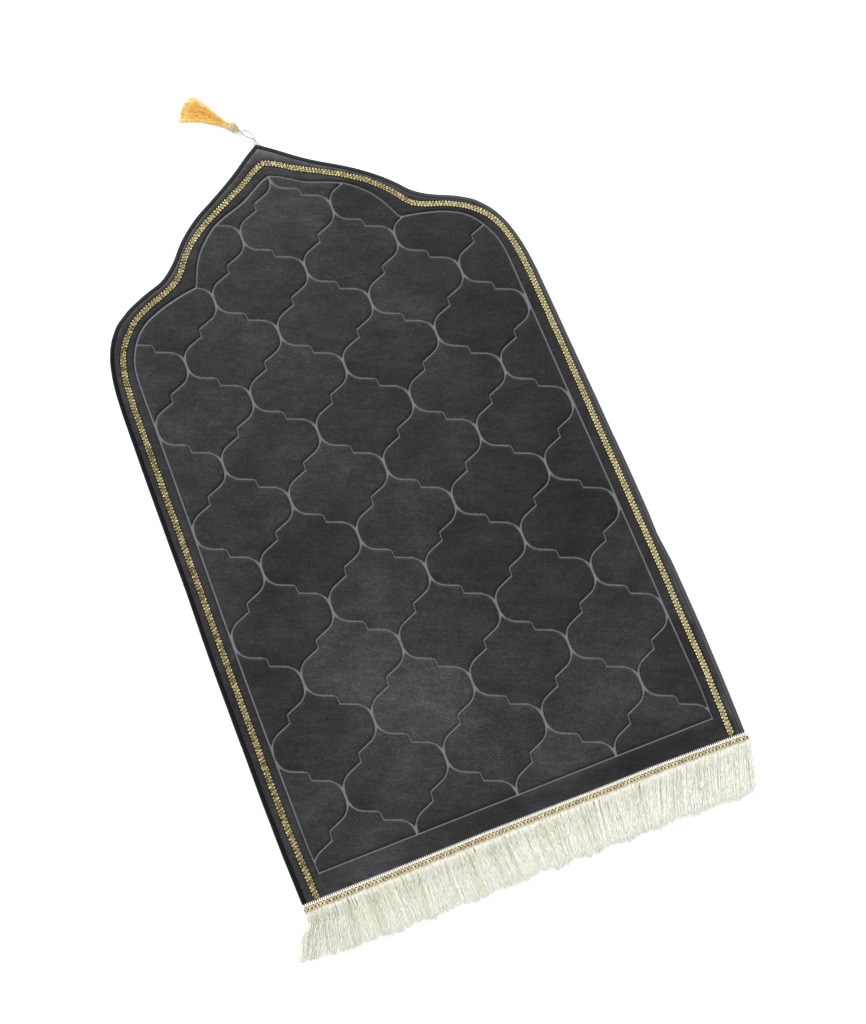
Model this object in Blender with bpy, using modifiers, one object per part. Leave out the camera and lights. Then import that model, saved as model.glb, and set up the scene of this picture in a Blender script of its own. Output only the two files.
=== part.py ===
"""A padded prayer mat lying flat: quilted velvet face with an arched end, gold braid, fringe and tassel.

Metres, +Z up. The underside rests on z = 0 and the arch points along +Y.
Plan tables are in millimetres, measured from the tip of the pressed frame line.
"""

import math
import random

import bmesh
import bpy
from mathutils import Vector
from mathutils.geometry import delaunay_2d_cdt, intersect_point_line

MM = 0.001
PARTS = "prayer_rug"
CUTTERS = "cutters"
FRAME_TIP_Y = 493.0  # millimetres from the part's origin to the tip of the pressed frame line

# Quilting pattern: one tile between two upright seams
HALF_TILE = 72.0
ROW_PITCH = 83.5
SEAM_WIDTH = 3.3
TILE_ARC = 26.0
ARC_START_Y = 3.5
ARC_TURN = math.radians(67.4)
STEP_LOW = Vector((36.5, 35.9))
STEP_HIGH = Vector((35.5, 47.6))
CUSP_CUT_Y = 67.0
LAST_ROW = 12
PATTERN_AT = Vector((-0.8, -0.5))
ROW_SLANT = -0.33  # each column of tiles sits this much higher than the last

# Heights above the floor
SEAM_Z = 7.0
PILLOW_RISE = 3.6
SHOULDER_IN = 3.4
SHOULDER_SHARE = 0.8
CROWN_IN = 13.0
BAND_Z = 9.7
BRAID_BED_Z = 8.5
HEADING_BED_Z = 8.0
BODY_EDGE_Z = 7.9
GAP = 0.3

BINDING_WIDTH = 6.0
BRAID_WIDTH = 9.2
HEADING_WIDTH = 12.5
HEADING_OVERLAP = 9.0
FRINGE_STRANDS = 170
TASSEL_STRANDS = 26
CORD_RADIUS = 0.65

# Outline of the mat: height y, left edge x, right edge x
EDGE_ROWS = (
    (59.4, -0.2, -0.2),
    (49.0, -16.4, 13.9),
    (40.0, -28.5, 25.6),
    (22.0, -51.8, 47.1),
    (5.0, -76.8, 69.4),
    (-10.0, -100.4, 92.3),
    (-23.0, -121.7, 112.5),
    (-36.0, -138.5, 130.5),
    (-50.0, -154.0, 147.9),
    (-65.0, -167.4, 164.1),
    (-81.0, -179.4, 178.8),
    (-97.0, -194.7, 191.8),
    (-109.0, -211.2, 206.2),
    (-119.0, -237.2, 223.4),
    (-132.0, -264.6, 251.4),
    (-142.0, -279.4, 268.4),
    (-154.0, -294.0, 282.8),
    (-176.0, -308.8, 299.1),
    (-201.0, -318.4, 309.8),
    (-228.0, -323.7, 316.3),
    (-255.0, -326.4, 320.0),
    (-290.0, -327.5, 322.0),
    (-400.0, -327.5, 322.7),
    (-520.0, -326.6, 323.6),
    (-570.0, -326.0, 323.5),
    (-600.0, -326.2, 324.0),
    (-650.0, -326.7, 324.1),
    (-700.0, -326.6, 323.7),
    (-732.0, -326.2, 322.2),
    (-750.0, -325.9, 323.2),
    (-775.0, -325.6, 325.0),
    (-820.0, -324.7, 325.0),
    (-880.0, -324.1, 324.5),
    (-960.0, -322.0, 322.4),
    (-1010.0, -319.7, 320.2),
)

# Centre line of the gold braid: height y, left x, right x
BRAID_ROWS = (
    (22.4, -1.4, -1.4),
    (12.6, -21.3, 17.8),
    (-1.0, -42.0, 38.8),
    (-12.4, -62.7, 58.9),
    (-24.0, -82.8, 79.5),
    (-35.6, -103.4, 99.7),
    (-48.3, -123.9, 118.5),
    (-60.5, -139.6, 135.4),
    (-75.0, -154.5, 149.7),
    (-91.0, -167.1, 164.1),
    (-107.0, -177.2, 175.0),
    (-118.0, -188.6, 183.3),
    (-124.0, -197.9, 189.4),
    (-132.0, -214.7, 205.6),
    (-143.0, -240.7, 236.3),
    (-158.5, -265.9, 263.2),
    (-179.4, -284.2, 284.6),
    (-203.0, -298.0, 297.4),
    (-229.0, -304.2, 304.3),
    (-256.0, -306.9, 307.7),
    (-290.0, -308.4, 309.6),
    (-400.0, -308.0, 309.4),
    (-480.0, -307.6, 308.6),
    (-560.0, -306.8, 307.5),
    (-630.0, -306.6, 307.5),
    (-700.0, -306.0, 306.8),
    (-800.0, -304.9, 306.0),
    (-860.0, -304.7, 304.7),
    (-930.0, -303.4, 304.4),
    (-1029.0, -297.5, 299.9),
)

# Pressed frame line: height y, left x, right x
FRAME_ROWS = (
    (-2.1, -1.5, -1.5),
    (-6.6, -15.1, 12.1),
    (-15.6, -30.2, 26.7),
    (-24.0, -44.4, 39.8),
    (-31.0, -57.9, 52.4),
    (-41.0, -84.7, 78.0),
    (-51.0, -104.8, 100.1),
    (-61.0, -117.3, 113.7),
    (-72.0, -128.5, 125.4),
    (-85.5, -139.8, 136.9),
    (-101.0, -148.6, 146.1),
    (-117.5, -155.8, 153.9),
    (-132.5, -161.4, 160.1),
    (-137.0, -163.5, 163.4),
    (-138.6, -173.4, 172.3),
    (-141.0, -187.0, 186.9),
    (-144.6, -199.8, 202.1),
    (-150.2, -218.5, 222.2),
    (-158.5, -238.3, 241.1),
    (-166.0, -251.4, 253.0),
    (-176.5, -263.5, 264.1),
    (-187.5, -271.7, 271.6),
    (-200.5, -279.0, 278.4),
    (-218.0, -285.7, 285.3),
    (-236.0, -288.8, 288.8),
    (-256.0, -289.8, 290.2),
    (-360.0, -289.3, 289.8),
    (-480.0, -289.3, 289.2),
    (-600.0, -289.9, 289.6),
    (-720.0, -290.0, 289.0),
    (-840.0, -288.7, 287.8),
    (-900.0, -287.8, 287.8),
    (-960.0, -286.8, 287.8),
)
FRAME_FOOT = ((285.4, -1002.2), (-284.7, -999.2))  # right and left corner

# Upper edge of the fringe heading: x, y
HEADING_ROWS = (
    (-318.4, -1030.9),
    (-250.0, -1031.0),
    (-154.0, -1031.3),
    (-60.0, -1031.0),
    (20.0, -1031.9),
    (100.0, -1033.0),
    (190.0, -1033.2),
    (250.0, -1034.6),
    (318.8, -1036.6),
)

# How the fringe's strands lean: x, sideways step for each millimetre of length
LEAN_ROWS = (
    (-322.0, 0.0),
    (-230.0, 0.06),
    (-150.0, -0.08),
    (-60.0, 0.08),
    (50.0, -0.04),
    (120.0, -0.14),
    (190.0, -0.36),
    (325.0, -0.34),
)

# Cords of the tassel's loop: x, y, z
CORD_A = (
    (-3.0, 58.65, 4.0),
    (-1.6, 63.0, 3.0),
    (-0.2, 69.0, 2.4),
    (0.1, 73.9, 2.35),
    (0.4, 79.4, 1.7),
    (-1.3, 86.2, 0.9),
    (-4.9, 90.8, 0.75),
    (-8.6, 92.3, 1.4),
    (-13.0, 91.3, 3.3),
)
CORD_B = (
    (7.2, 55.15, 4.0),
    (5.6, 59.5, 2.4),
    (2.8, 67.6, 0.95),
    (0.1, 73.4, 0.7),
    (-3.6, 76.7, 0.7),
    (-7.6, 80.0, 0.75),
    (-11.6, 85.6, 1.4),
    (-14.4, 90.0, 3.3),
)

TASSEL_CENTRE = Vector((-23.3, 100.3))
TASSEL_ANGLE = math.radians(134.6)
KNOT_Z = 7.1
KNOT_TILT = math.radians(16.0)

# The tassel's knot and neck: distance along the axis, radius
KNOT_ROWS = (
    (-13.6, 0.0),
    (-13.6, 1.3),
    (-9.2, 1.5),
    (-7.2, 3.4),
    (-4.2, 6.0),
    (0.0, 7.0),
    (4.2, 6.2),
    (7.2, 4.2),
    (7.2, 0.0),
)

# Sides of the tassel's skirt: distance from its head's centre, one side, other side, height
SKIRT_ROWS = (
    (4.0, -3.6, 3.8, 9.5),
    (42.0, -8.0, 13.4, 4.0),
)
SKIRT_END = 84.0
SKIRT_END_SIDES = (-24.0, 24.2)

VELVET = (0.045, 0.045, 0.05)
BINDING_BLACK = (0.02, 0.02, 0.024)
GOLD = (0.72, 0.5, 0.16)
FRINGE_WHITE = (0.86, 0.85, 0.79)
TASSEL_YELLOW = (0.85, 0.55, 0.16)
CORD_GREY = (0.75, 0.73, 0.68)


def clear_scene():
    for existing in list(bpy.data.objects):
        bpy.data.objects.remove(existing, do_unlink=True)


def material(name, color, roughness, metallic=0.0):
    made = bpy.data.materials.new(name)
    made.use_nodes = True
    shader = made.node_tree.nodes["Principled BSDF"]
    shader.inputs["Base Color"].default_value = (*color, 1.0)
    shader.inputs["Roughness"].default_value = roughness
    shader.inputs["Metallic"].default_value = metallic
    return made


def finish_object(name, bm, surface, smooth=False):
    """Place the millimetre mesh in metres, with the frame line's tip at its height on +Y."""
    bmesh.ops.recalc_face_normals(bm, faces=bm.faces)
    bmesh.ops.translate(bm, verts=bm.verts, vec=(0.0, FRAME_TIP_Y, 0.0))
    bmesh.ops.scale(bm, verts=bm.verts, vec=(MM, MM, MM))
    mesh = bpy.data.meshes.new(name)
    bm.to_mesh(mesh)
    bm.free()
    mesh.materials.append(surface)
    if smooth:
        mesh.shade_smooth()
    made = bpy.data.objects.new(name, mesh)
    bpy.data.collections[PARTS].objects.link(made)
    return made


# ---- plan curves ----


def curve_through(points, parts):
    """A Catmull-Rom curve through the points, each span in so many parts."""
    ends = [points[0] * 2 - points[1], *points, points[-1] * 2 - points[-2]]
    made = []
    for i in range(1, len(ends) - 2):
        a, b, c, d = ends[i - 1 : i + 3]
        for k in range(parts):
            t = k / parts
            made.append(
                0.5
                * (
                    b * 2
                    + (c - a) * t
                    + (a * 2 - b * 5 + c * 4 - d) * t**2
                    + (b * 3 - a - c * 3 + d) * t**3
                )
            )
    made.append(ends[-2])
    return made


def arch_path(rows, parts):
    """Up the left side, over the tip and down the right side."""
    left = [Vector((row[1], row[0])) for row in rows]
    right = [Vector((row[2], row[0])) for row in rows]
    curved = [i for i, row in enumerate(rows) if row[0] > -300.0][-1]
    path = list(reversed(left[curved + 1 :]))
    path += reversed(curve_through(left[: curved + 1], parts))
    path += curve_through(right[: curved + 1], parts)[1:]
    path += right[curved + 1 :]
    return path


def turned(v):
    """A quarter turn clockwise: the inner side of a path that runs clockwise."""
    return Vector((v.y, -v.x))


def offset(path, distance, closed=False):
    """The path moved sideways, with mitred corners."""
    made = []
    count = len(path)
    for i, point in enumerate(path):
        before = path[i - 1] if closed or i else None
        after = path[(i + 1) % count] if closed or i < count - 1 else None
        first = turned((point - before).normalized()) if before is not None else None
        second = turned((after - point).normalized()) if after is not None else None
        first = second if first is None else first
        second = first if second is None else second
        made.append(point + (first + second) * (distance / (1.0 + first.dot(second))))
    return made


def heading_line(distance):
    """The heading's upper edge moved towards the fringe's tips."""
    return [Vector((x, y - distance)) for x, y in HEADING_ROWS]


def heading_y(x):
    rows = HEADING_ROWS
    for (x0, y0), (x1, y1) in zip(rows, rows[1:]):
        if x <= x1 or x1 == rows[-1][0]:
            return y0 + (y1 - y0) * (x - x0) / (x1 - x0)
    return rows[-1][1]


def cut_at_heading(path, below):
    """The path's two ends carried to a line so far below the heading's upper edge."""
    made = [point.copy() for point in path]
    for end, near in ((0, 1), (-1, -2)):
        y = heading_y(made[end].x) - below
        slope = (made[end].x - made[near].x) / (made[end].y - made[near].y)
        made[end] = Vector((made[end].x + slope * (y - made[end].y), y))
    return made


def frame_loop(side):
    """The pressed frame line, moved outwards or inwards by the distance, as a clockwise loop."""
    right = [Vector((row[2], row[0])) for row in FRAME_ROWS]
    foot = [Vector(corner) for corner in FRAME_FOOT]
    left = [Vector((row[1], row[0])) for row in reversed(FRAME_ROWS[1:])]
    return offset(right + foot + left, -side, closed=True)


# ---- quilted tiles ----


def meet(a, a_way, b, b_way):
    """Where two lines cross."""
    across = a_way.cross(b_way)
    return a + a_way * ((b - a).cross(b_way) / across)


def tile_quarter(inset):
    """A quarter of a tile's pressed outline, from its upright seam to its cusp."""
    side = Vector((HALF_TILE - TILE_ARC, ARC_START_Y))
    top = Vector((TILE_ARC, ROW_PITCH - ARC_START_Y))
    points = []
    for k in range(4):
        angle = ARC_TURN * k / 3
        points.append(side + (TILE_ARC - inset) * Vector((math.cos(angle), math.sin(angle))))
    slant = Vector((-math.sin(ARC_TURN), math.cos(ARC_TURN)))
    low = points[-1]
    high = top - (TILE_ARC + inset) * Vector((math.cos(ARC_TURN), math.sin(ARC_TURN)))
    step = (STEP_HIGH - STEP_LOW).normalized()
    step_at = STEP_LOW + Vector((-step.y, step.x)) * inset
    points.append(meet(low, slant, step_at, step))
    points.append(meet(high, slant, step_at, step))
    last = math.asin((top.y - CUSP_CUT_Y) / (TILE_ARC + inset))
    for k in range(3):
        angle = math.pi + ARC_TURN + (last - ARC_TURN) * k / 2
        points.append(top + (TILE_ARC + inset) * Vector((math.cos(angle), math.sin(angle))))
    return points


def tile_outline(column, row):
    quarter = tile_quarter(SEAM_WIDTH / 2)
    centre = PATTERN_AT + Vector((column * HALF_TILE, column * ROW_SLANT - row * ROW_PITCH))
    around = []
    for sx, sy in ((1, 1), (-1, 1), (-1, -1), (1, -1)):
        part = [Vector((p.x * sx, p.y * sy)) for p in quarter]
        around += part if sx == sy else reversed(part)
    return [centre + p for p in around]


def signed_area(loop):
    return 0.5 * sum(a.cross(b) for a, b in zip(loop, loop[1:] + loop[:1]))


def clipped(loop, frame):
    """The parts of the loop inside the frame, each as an anticlockwise loop."""
    points = loop + frame
    faces = [list(range(len(loop))), list(range(len(points) - 1, len(loop) - 1, -1))]
    verts, _, triangles, _, _, owners = delaunay_2d_cdt(points, [], faces, 0, 1e-5, True)
    rim = set()
    for triangle, owner in zip(triangles, owners):
        if len(set(owner)) == 2:
            for a, b in zip(triangle, triangle[1:] + triangle[:1]):
                if (b, a) in rim:
                    rim.remove((b, a))
                else:
                    rim.add((a, b))
    return trace(verts, dict(rim))


def trace(verts, follows):
    """The closed loops of a one-way chain of corners, without the smallest."""
    loops = []
    while follows:
        at = next(iter(follows))
        made = []
        while at in follows:
            made.append(Vector(verts[at]))
            at = follows.pop(at)
        made = thinned(made)
        if len(made) > 3 and abs(signed_area(made)) > 60.0:
            loops.append(made)
    return loops


def thinned(loop):
    """The loop without points closer than a millimetre to the last kept one."""
    kept = []
    for point in loop:
        if not kept or (point - kept[-1]).length > 1.0:
            kept.append(point)
    while len(kept) > 2 and (kept[0] - kept[-1]).length < 1.0:
        kept.pop()
    return kept


def pillow_loops():
    frame = frame_loop(-SEAM_WIDTH / 2)
    loops = []
    for row in range(LAST_ROW + 1):
        for column in range(-4, 5):
            if (row + column) % 2:
                loops += clip_tile(column, row, frame)
    return loops


def clip_tile(column, row, frame):
    inside = abs(column) < 4 and 0 < row < LAST_ROW and abs(column) + 1 - row < 2
    if inside:
        return [tile_outline(column, row)]
    return clipped(tile_outline(column, row), frame)


def distance_to(point, loop):
    best = 1e9
    for a, b in zip(loop, loop[1:] + loop[:1]):
        near, share = intersect_point_line(point.to_3d(), a.to_3d(), b.to_3d())
        share = min(max(share, 0.0), 1.0)
        best = min(best, (point - a - (b - a) * share).length)
    return best


def is_inside(point, loop):
    odd = False
    for a, b in zip(loop, loop[1:] + loop[:1]):
        if (a.y > point.y) != (b.y > point.y):
            odd ^= point.x < a.x + (b.x - a.x) * (point.y - a.y) / (b.y - a.y)
    return odd


class Plan:
    """Points of the mat's upper face, each with its height, and the edges that must be kept."""

    def __init__(self):
        self.points = []
        self.heights = []
        self.edges = []

    def add(self, point, z):
        self.points.append(point)
        self.heights.append(z)
        return len(self.points) - 1

    def add_line(self, path, z, closed=False):
        first = len(self.points)
        for point in path:
            self.add(point, z)
        count = len(path)
        self.edges += [(first + i, first + i + 1) for i in range(count - 1)]
        if closed:
            self.edges.append((first + count - 1, first))
        return list(range(first, first + count))

    def add_runs(self, points, heights):
        """A row broken wherever a height is missing."""
        before = None
        for point, z in zip(points, heights):
            index = None if z is None else self.add(point, z)
            if before is not None and index is not None:
                self.edges.append((before, index))
            before = index


def add_pillow(plan, loop, rng):
    """One padded tile: its pressed foot, its shoulder and its crown."""
    plan.add_line(loop, SEAM_Z, closed=True)
    top = SEAM_Z + PILLOW_RISE
    rings = ((SHOULDER_IN, SHOULDER_SHARE, 1, 0.85), (CROWN_IN, 1.0, 3, 0.9))
    for inset, share, every, keep in rings:
        kept = []
        for point in offset(loop, -inset, closed=True)[::every]:
            clear = is_inside(point, loop) and distance_to(point, loop) > keep * inset
            if clear and all((point - other).length > 0.4 * inset for other in kept):
                kept.append(point)
        if len(kept) > 3:
            z = SEAM_Z + PILLOW_RISE * share + rng.uniform(-0.15, 0.15)
            plan.add_line(kept, z, closed=True)
    centre = sum(loop, Vector((0.0, 0.0))) / len(loop)
    if is_inside(centre, loop) and distance_to(centre, loop) > 1.5 * CROWN_IN:
        plan.add(centre, top + 0.3 + rng.uniform(-0.2, 0.2))


def add_margin(plan, body_edge):
    """The bands each side of the braid's bed, and the seam of the frame line."""
    braid = arch_path(BRAID_ROWS, 2)
    half = BRAID_WIDTH / 2 + 0.5
    for way in (-1, 1):
        row = cut_at_heading(offset(braid, way * half), -1.2)
        plan.add_line(row, BRAID_BED_Z)
    outer = cut_at_heading(offset(braid, -half), -6.0)
    crest = []
    heights = []
    for point in outer:
        room = distance_to(point, body_edge)
        crest.append(point.lerp(nearest_on(point, body_edge), 0.5))
        heights.append(BRAID_BED_Z + min(1.1, room * 0.16) if room > 3.4 else None)
    plan.add_runs(crest, heights)
    plan.add_line(frame_loop(SEAM_WIDTH / 2), SEAM_Z, closed=True)
    braid_inner = offset(braid, half)
    shoulder = frame_loop(SEAM_WIDTH / 2 + SHOULDER_IN)
    shoulder.append(shoulder[0])
    clear = [distance_to(point, braid_inner) > 2.0 for point in shoulder]
    plan.add_runs(shoulder, [BAND_Z if ok else None for ok in clear])


def nearest_on(point, loop):
    found = None
    for a, b in zip(loop, loop[1:] + loop[:1]):
        _, share = intersect_point_line(point.to_3d(), a.to_3d(), b.to_3d())
        near = a + (b - a) * min(max(share, 0.0), 1.0)
        if found is None or (near - point).length < (found - point).length:
            found = near
    return found


def rug_body(surface):
    rng = random.Random(11)
    edge = arch_path(EDGE_ROWS, 2)
    sides = cut_at_heading(offset(edge, BINDING_WIDTH + GAP), HEADING_OVERLAP)
    end = [p for p in heading_line(HEADING_OVERLAP) if sides[0].x + 5 < p.x < sides[-1].x - 5]
    body_edge = sides + list(reversed(end))
    plan = Plan()
    outline = plan.add_line(body_edge, BODY_EDGE_Z, closed=True)
    span = sides[-1].x - sides[0].x
    under = [Vector((sides[0].x + 0.5 + (span - 1.0) * k / 12, 0.0)) for k in range(13)]
    plan.add_line([Vector((p.x, heading_y(p.x) + 0.5)) for p in under], HEADING_BED_Z)
    for point in under[2:-2]:
        plan.add(Vector((point.x, heading_y(point.x) + 3.6)), BAND_Z - 0.3)
    add_margin(plan, body_edge)
    for loop in pillow_loops():
        add_pillow(plan, loop, rng)
    verts, _, triangles, origins, _, owners = delaunay_2d_cdt(
        plan.points, plan.edges, [list(reversed(outline))], 0, 1e-4, True
    )
    bm = bmesh.new()
    made = []
    for at, source in zip(verts, origins):
        z = plan.heights[source[0]] if source else 0.0
        made.append(bm.verts.new((at.x, at.y, z)))
    for triangle, owner in zip(triangles, owners):
        if owner:
            bm.faces.new([made[i] for i in triangle])
    for vert, source in zip(made, origins):
        if not source and vert.link_edges:
            around = [edge.other_vert(vert).co.z for edge in vert.link_edges]
            vert.co.z = sorted(around)[len(around) // 2]
    loose = [v for v in bm.verts if not v.link_faces]
    bmesh.ops.delete(bm, geom=loose, context="VERTS")
    rim = [e for e in bm.edges if e.is_boundary]
    walls = bmesh.ops.extrude_edge_only(bm, edges=rim)
    for vert in (g for g in walls["geom"] if isinstance(g, bmesh.types.BMVert)):
        vert.co.z = 0.0
    bmesh.ops.holes_fill(bm, edges=[e for e in bm.edges if e.is_boundary], sides=0)
    return finish_object("rug_body", bm, surface)


# ---- swept trims ----


def sweep(name, path, section, surface):
    """A closed section carried along a plan path: each point is a sideways offset and a height."""
    bm = bmesh.new()
    tracks = [(offset(path, across), z) for across, z in section]
    rings = []
    for i in range(len(path)):
        rings.append([bm.verts.new((track[i].x, track[i].y, z)) for track, z in tracks])
    for ring, after in zip(rings, rings[1:]):
        for k in range(len(section)):
            n = (k + 1) % len(section)
            bm.faces.new((ring[k], ring[n], after[n], after[k]))
    bm.faces.new(rings[0])
    bm.faces.new(reversed(rings[-1]))
    return finish_object(name, bm, surface, smooth=True)


def edge_binding(surface):
    """The rolled tape round the sides and the arch."""
    path = cut_at_heading(arch_path(EDGE_ROWS, 2), HEADING_OVERLAP)
    wide = BINDING_WIDTH
    section = (
        (1.0, 0.0),
        (0.0, 1.8),
        (0.0, 5.4),
        (1.6, 7.4),
        (4.0, 7.7),
        (wide, 6.6),
        (wide, 0.0),
    )
    return sweep("edge_binding", path, section, surface)


def gold_braid(surface):
    """The plaited band: two raised plaits with a dip between them."""
    path = cut_at_heading(arch_path(BRAID_ROWS, 2), -0.6)
    half = BRAID_WIDTH / 2
    low = BRAID_BED_Z + GAP
    section = (
        (-half, low),
        (-half, low + 0.9),
        (-half * 0.5, low + 2.1),
        (0.0, low + 1.4),
        (half * 0.5, low + 2.1),
        (half, low + 0.9),
        (half, low),
    )
    return sweep("gold_braid", path, section, surface)


def heading_gold(surface):
    """The gold stripe along the fringe's heading."""
    path = [Vector((x, y - 6.4)) for x, y in HEADING_ROWS]
    path[0].x += 0.6
    path[-1] += Vector((2.4, -0.8))
    low = HEADING_BED_Z + GAP + 1.5 + GAP
    section = (
        (-2.6, low),
        (-2.6, low + 0.5),
        (-1.3, low + 1.1),
        (1.3, low + 1.1),
        (2.6, low + 0.5),
        (2.6, low),
    )
    return sweep("fringe_gold_braid", path, section, surface)


# ---- strands ----


def add_strand(bm, root, rings):
    """A three-sided strand grown from a root triangle already in the mesh."""
    before = root
    for ring in rings:
        after = [bm.verts.new(at) for at in ring]
        for k in range(3):
            n = (k + 1) % 3
            bm.faces.new((before[k], before[n], after[n], after[k]))
        before = after
    bm.faces.new(before)


def strand_ring(at, across, width, height):
    """Two corners on the underside and one on top."""
    side = across * (width / 2)
    return (at - side, at + side, at + Vector((0.0, 0.0, height)))


def add_comb(bm, rear, roots, strands, every):
    """A slab whose front wall carries the strands, with a rear edge point for each group of them."""
    low_front = []
    high_front = []
    for root, rings in zip(roots, strands):
        corners = [bm.verts.new(at) for at in root]
        add_strand(bm, corners, rings)
        if low_front:
            bm.faces.new((low_front[-1], corners[0], corners[2], high_front[-1]))
        low_front += corners[:2]
        high_front.append(corners[2])
    groups = math.ceil(len(roots) / every)
    low = []
    high = []
    for k in range(groups + 1):
        below, above = rear(min(k * every / (len(roots) - 1), 1.0))
        low.append(bm.verts.new(below))
        high.append(bm.verts.new(above))
    join_rows(bm, high, high_front, every)
    join_rows(bm, low, low_front, 2 * every)
    for k in range(groups):
        bm.faces.new((low[k], low[k + 1], high[k + 1], high[k]))
    bm.faces.new((low[0], high[0], high_front[0], low_front[0]))
    bm.faces.new((low[-1], high[-1], high_front[-1], low_front[-1]))


def join_rows(bm, rear, front, every):
    """Faces from a coarse row to a fine one, fanned from each coarse point."""
    for k in range(len(rear) - 1):
        first = k * every
        last = min(first + every, len(front) - 1)
        for i in range(first, last):
            bm.faces.new((rear[k], front[i], front[i + 1]))
        bm.faces.new((rear[k], front[last], rear[k + 1]))


def lean_at(x):
    """How far a strand leans sideways for each millimetre that it hangs."""
    for (x0, lean0), (x1, lean1) in zip(LEAN_ROWS, LEAN_ROWS[1:]):
        if x <= x1:
            return lean0 + (lean1 - lean0) * (x - x0) / (x1 - x0)
    return LEAN_ROWS[-1][1]


def fringe(surface):
    rng = random.Random(5)
    low = HEADING_BED_Z + GAP
    high = low + 1.5
    ends = (HEADING_ROWS[0][0], HEADING_ROWS[-1][0] + 2.0)
    roots = []
    strands = []
    across = Vector((1.0, 0.0, 0.0))
    for i in range(FRINGE_STRANDS):
        share = (i + 0.5) / FRINGE_STRANDS
        x = ends[0] + 1.4 + (ends[1] - ends[0] - 2.8) * share
        y = heading_y(x) - HEADING_WIDTH
        root = (Vector((x - 1.1, y, low)), Vector((x + 1.1, y, low)), Vector((x, y, high)))
        reach = 62.0 + 1.6 * math.sin(x / 9.0) + rng.uniform(-2.2, 2.2) + 2.5 * share
        reach -= 9.0 * max(0.0, 1.0 - share * 14.0)
        flare = -31.0 * max(0.0, 1.0 - share * 11.0) ** 1.3
        sway = 1.2 * math.sin(x / 17.0) + lean_at(x) * reach
        drift = flare + sway * min(1.0, share * 12.0)
        drape = Vector((x + drift * 0.15, y - 11.0, 0.9))
        middle = Vector((x + drift * 0.5, y - 0.52 * reach, 0.05))
        tip = Vector((x + drift + rng.uniform(-0.25, 0.25), y - reach, 0.05))
        roots.append(root)
        strands.append(
            (
                strand_ring(drape, across, 2.3, 1.7),
                strand_ring(middle, across, 2.3, 1.6),
                strand_ring(tip, across, 1.3, 1.0),
            )
        )
    bm = bmesh.new()

    def rear(share):
        x = ends[0] + 0.4 + (ends[1] - ends[0] - 0.6) * share
        y = heading_y(x)
        return Vector((x, y, low)), Vector((x, y, high - 0.1))

    add_comb(bm, rear, roots, strands, 4)
    return finish_object("fringe", bm, surface)


def tassel_point(along, side, z):
    way = Vector((math.cos(TASSEL_ANGLE), math.sin(TASSEL_ANGLE)))
    flat = TASSEL_CENTRE + way * along + turned(way) * side
    return Vector((flat.x, flat.y, z))


def tassel_head(surface):
    """The wrapped knot and its short twisted neck, turned round the tassel's tilted axis."""
    mesh = bpy.data.meshes.new("tassel_head_shape")
    points = [(radius * MM, 0.0, along * MM) for along, radius in KNOT_ROWS]
    mesh.from_pydata(points, [(i, i + 1) for i in range(len(points) - 1)], [])
    mesh.materials.append(surface)
    head = bpy.data.objects.new("tassel_head_shape", mesh)
    head.location = (TASSEL_CENTRE.x * MM, (TASSEL_CENTRE.y + FRAME_TIP_Y) * MM, KNOT_Z * MM)
    head.rotation_euler = (0.0, math.pi / 2 - KNOT_TILT, TASSEL_ANGLE)
    turn = head.modifiers.new("turn", "SCREW")
    turn.axis = "Z"
    turn.angle = 2 * math.pi
    turn.steps = 12
    turn.render_steps = 12
    turn.use_merge_vertices = True
    turn.merge_threshold = 0.00001
    turn.use_smooth_shade = True
    bpy.data.collections[CUTTERS].objects.link(head)
    head.hide_render = True
    head.display_type = "WIRE"
    return head


def tassel_skirt():
    """A solid fan that splits into strands."""
    rng = random.Random(3)
    along, side_a, side_b, height = SKIRT_ROWS[-1]
    across = tassel_point(0.0, 1.0, 0.0) - tassel_point(0.0, 0.0, 0.0)
    pitch = (side_b - side_a) / TASSEL_STRANDS
    roots = []
    strands = []
    for i in range(TASSEL_STRANDS):
        share = (i + 0.5) / TASSEL_STRANDS
        side = side_a + pitch * (i + 0.5)
        dome = 1.0 - (2 * share - 1.0) ** 2
        low = 0.15
        high = low + height * (0.45 + 0.55 * dome)
        end_side = SKIRT_END_SIDES[0] + (SKIRT_END_SIDES[1] - SKIRT_END_SIDES[0]) * share
        end = SKIRT_END - 3.0 + 5.0 * share + rng.uniform(-1.2, 1.2)
        roots.append(
            (
                tassel_point(along, side - 0.26, low),
                tassel_point(along, side + 0.26, low),
                tassel_point(along, side, high),
            )
        )
        middle = tassel_point(0.5 * (along + end), 0.52 * side + 0.48 * end_side, 0.1)
        tip = tassel_point(end, end_side, 0.1)
        strands.append((strand_ring(middle, across, 0.9, 1.6), strand_ring(tip, across, 0.9, 0.8)))
    behind = SKIRT_ROWS[0]
    bm = bmesh.new()

    def rear(share):
        side = behind[1] + (behind[2] - behind[1]) * share
        return tassel_point(behind[0], side, 2.6), tassel_point(behind[0], side, behind[3])

    add_comb(bm, rear, roots, strands, 5)
    return bm


def tassel(surface):
    """The knot and the skirt made one body."""
    skirt = finish_object("tassel", tassel_skirt(), surface, smooth=True)
    union = skirt.modifiers.new("head", "BOOLEAN")
    union.operation = "UNION"
    union.solver = "EXACT"
    union.object = tassel_head(surface)
    return skirt


def loop_cord(name, rows, surface):
    """One side of the tassel's cord."""
    data = bpy.data.curves.new(name, "CURVE")
    data.dimensions = "3D"
    data.bevel_depth = CORD_RADIUS * MM
    data.bevel_resolution = 2
    data.use_fill_caps = True
    path = curve_through([Vector(row) for row in rows], 2)
    spline = data.splines.new("POLY")
    spline.points.add(len(path) - 1)
    for point, at in zip(spline.points, path):
        point.co = (at.x * MM, (at.y + FRAME_TIP_Y) * MM, at.z * MM, 1.0)
    data.materials.append(surface)
    made = bpy.data.objects.new(name, data)
    bpy.data.collections[PARTS].objects.link(made)
    return made


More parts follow.
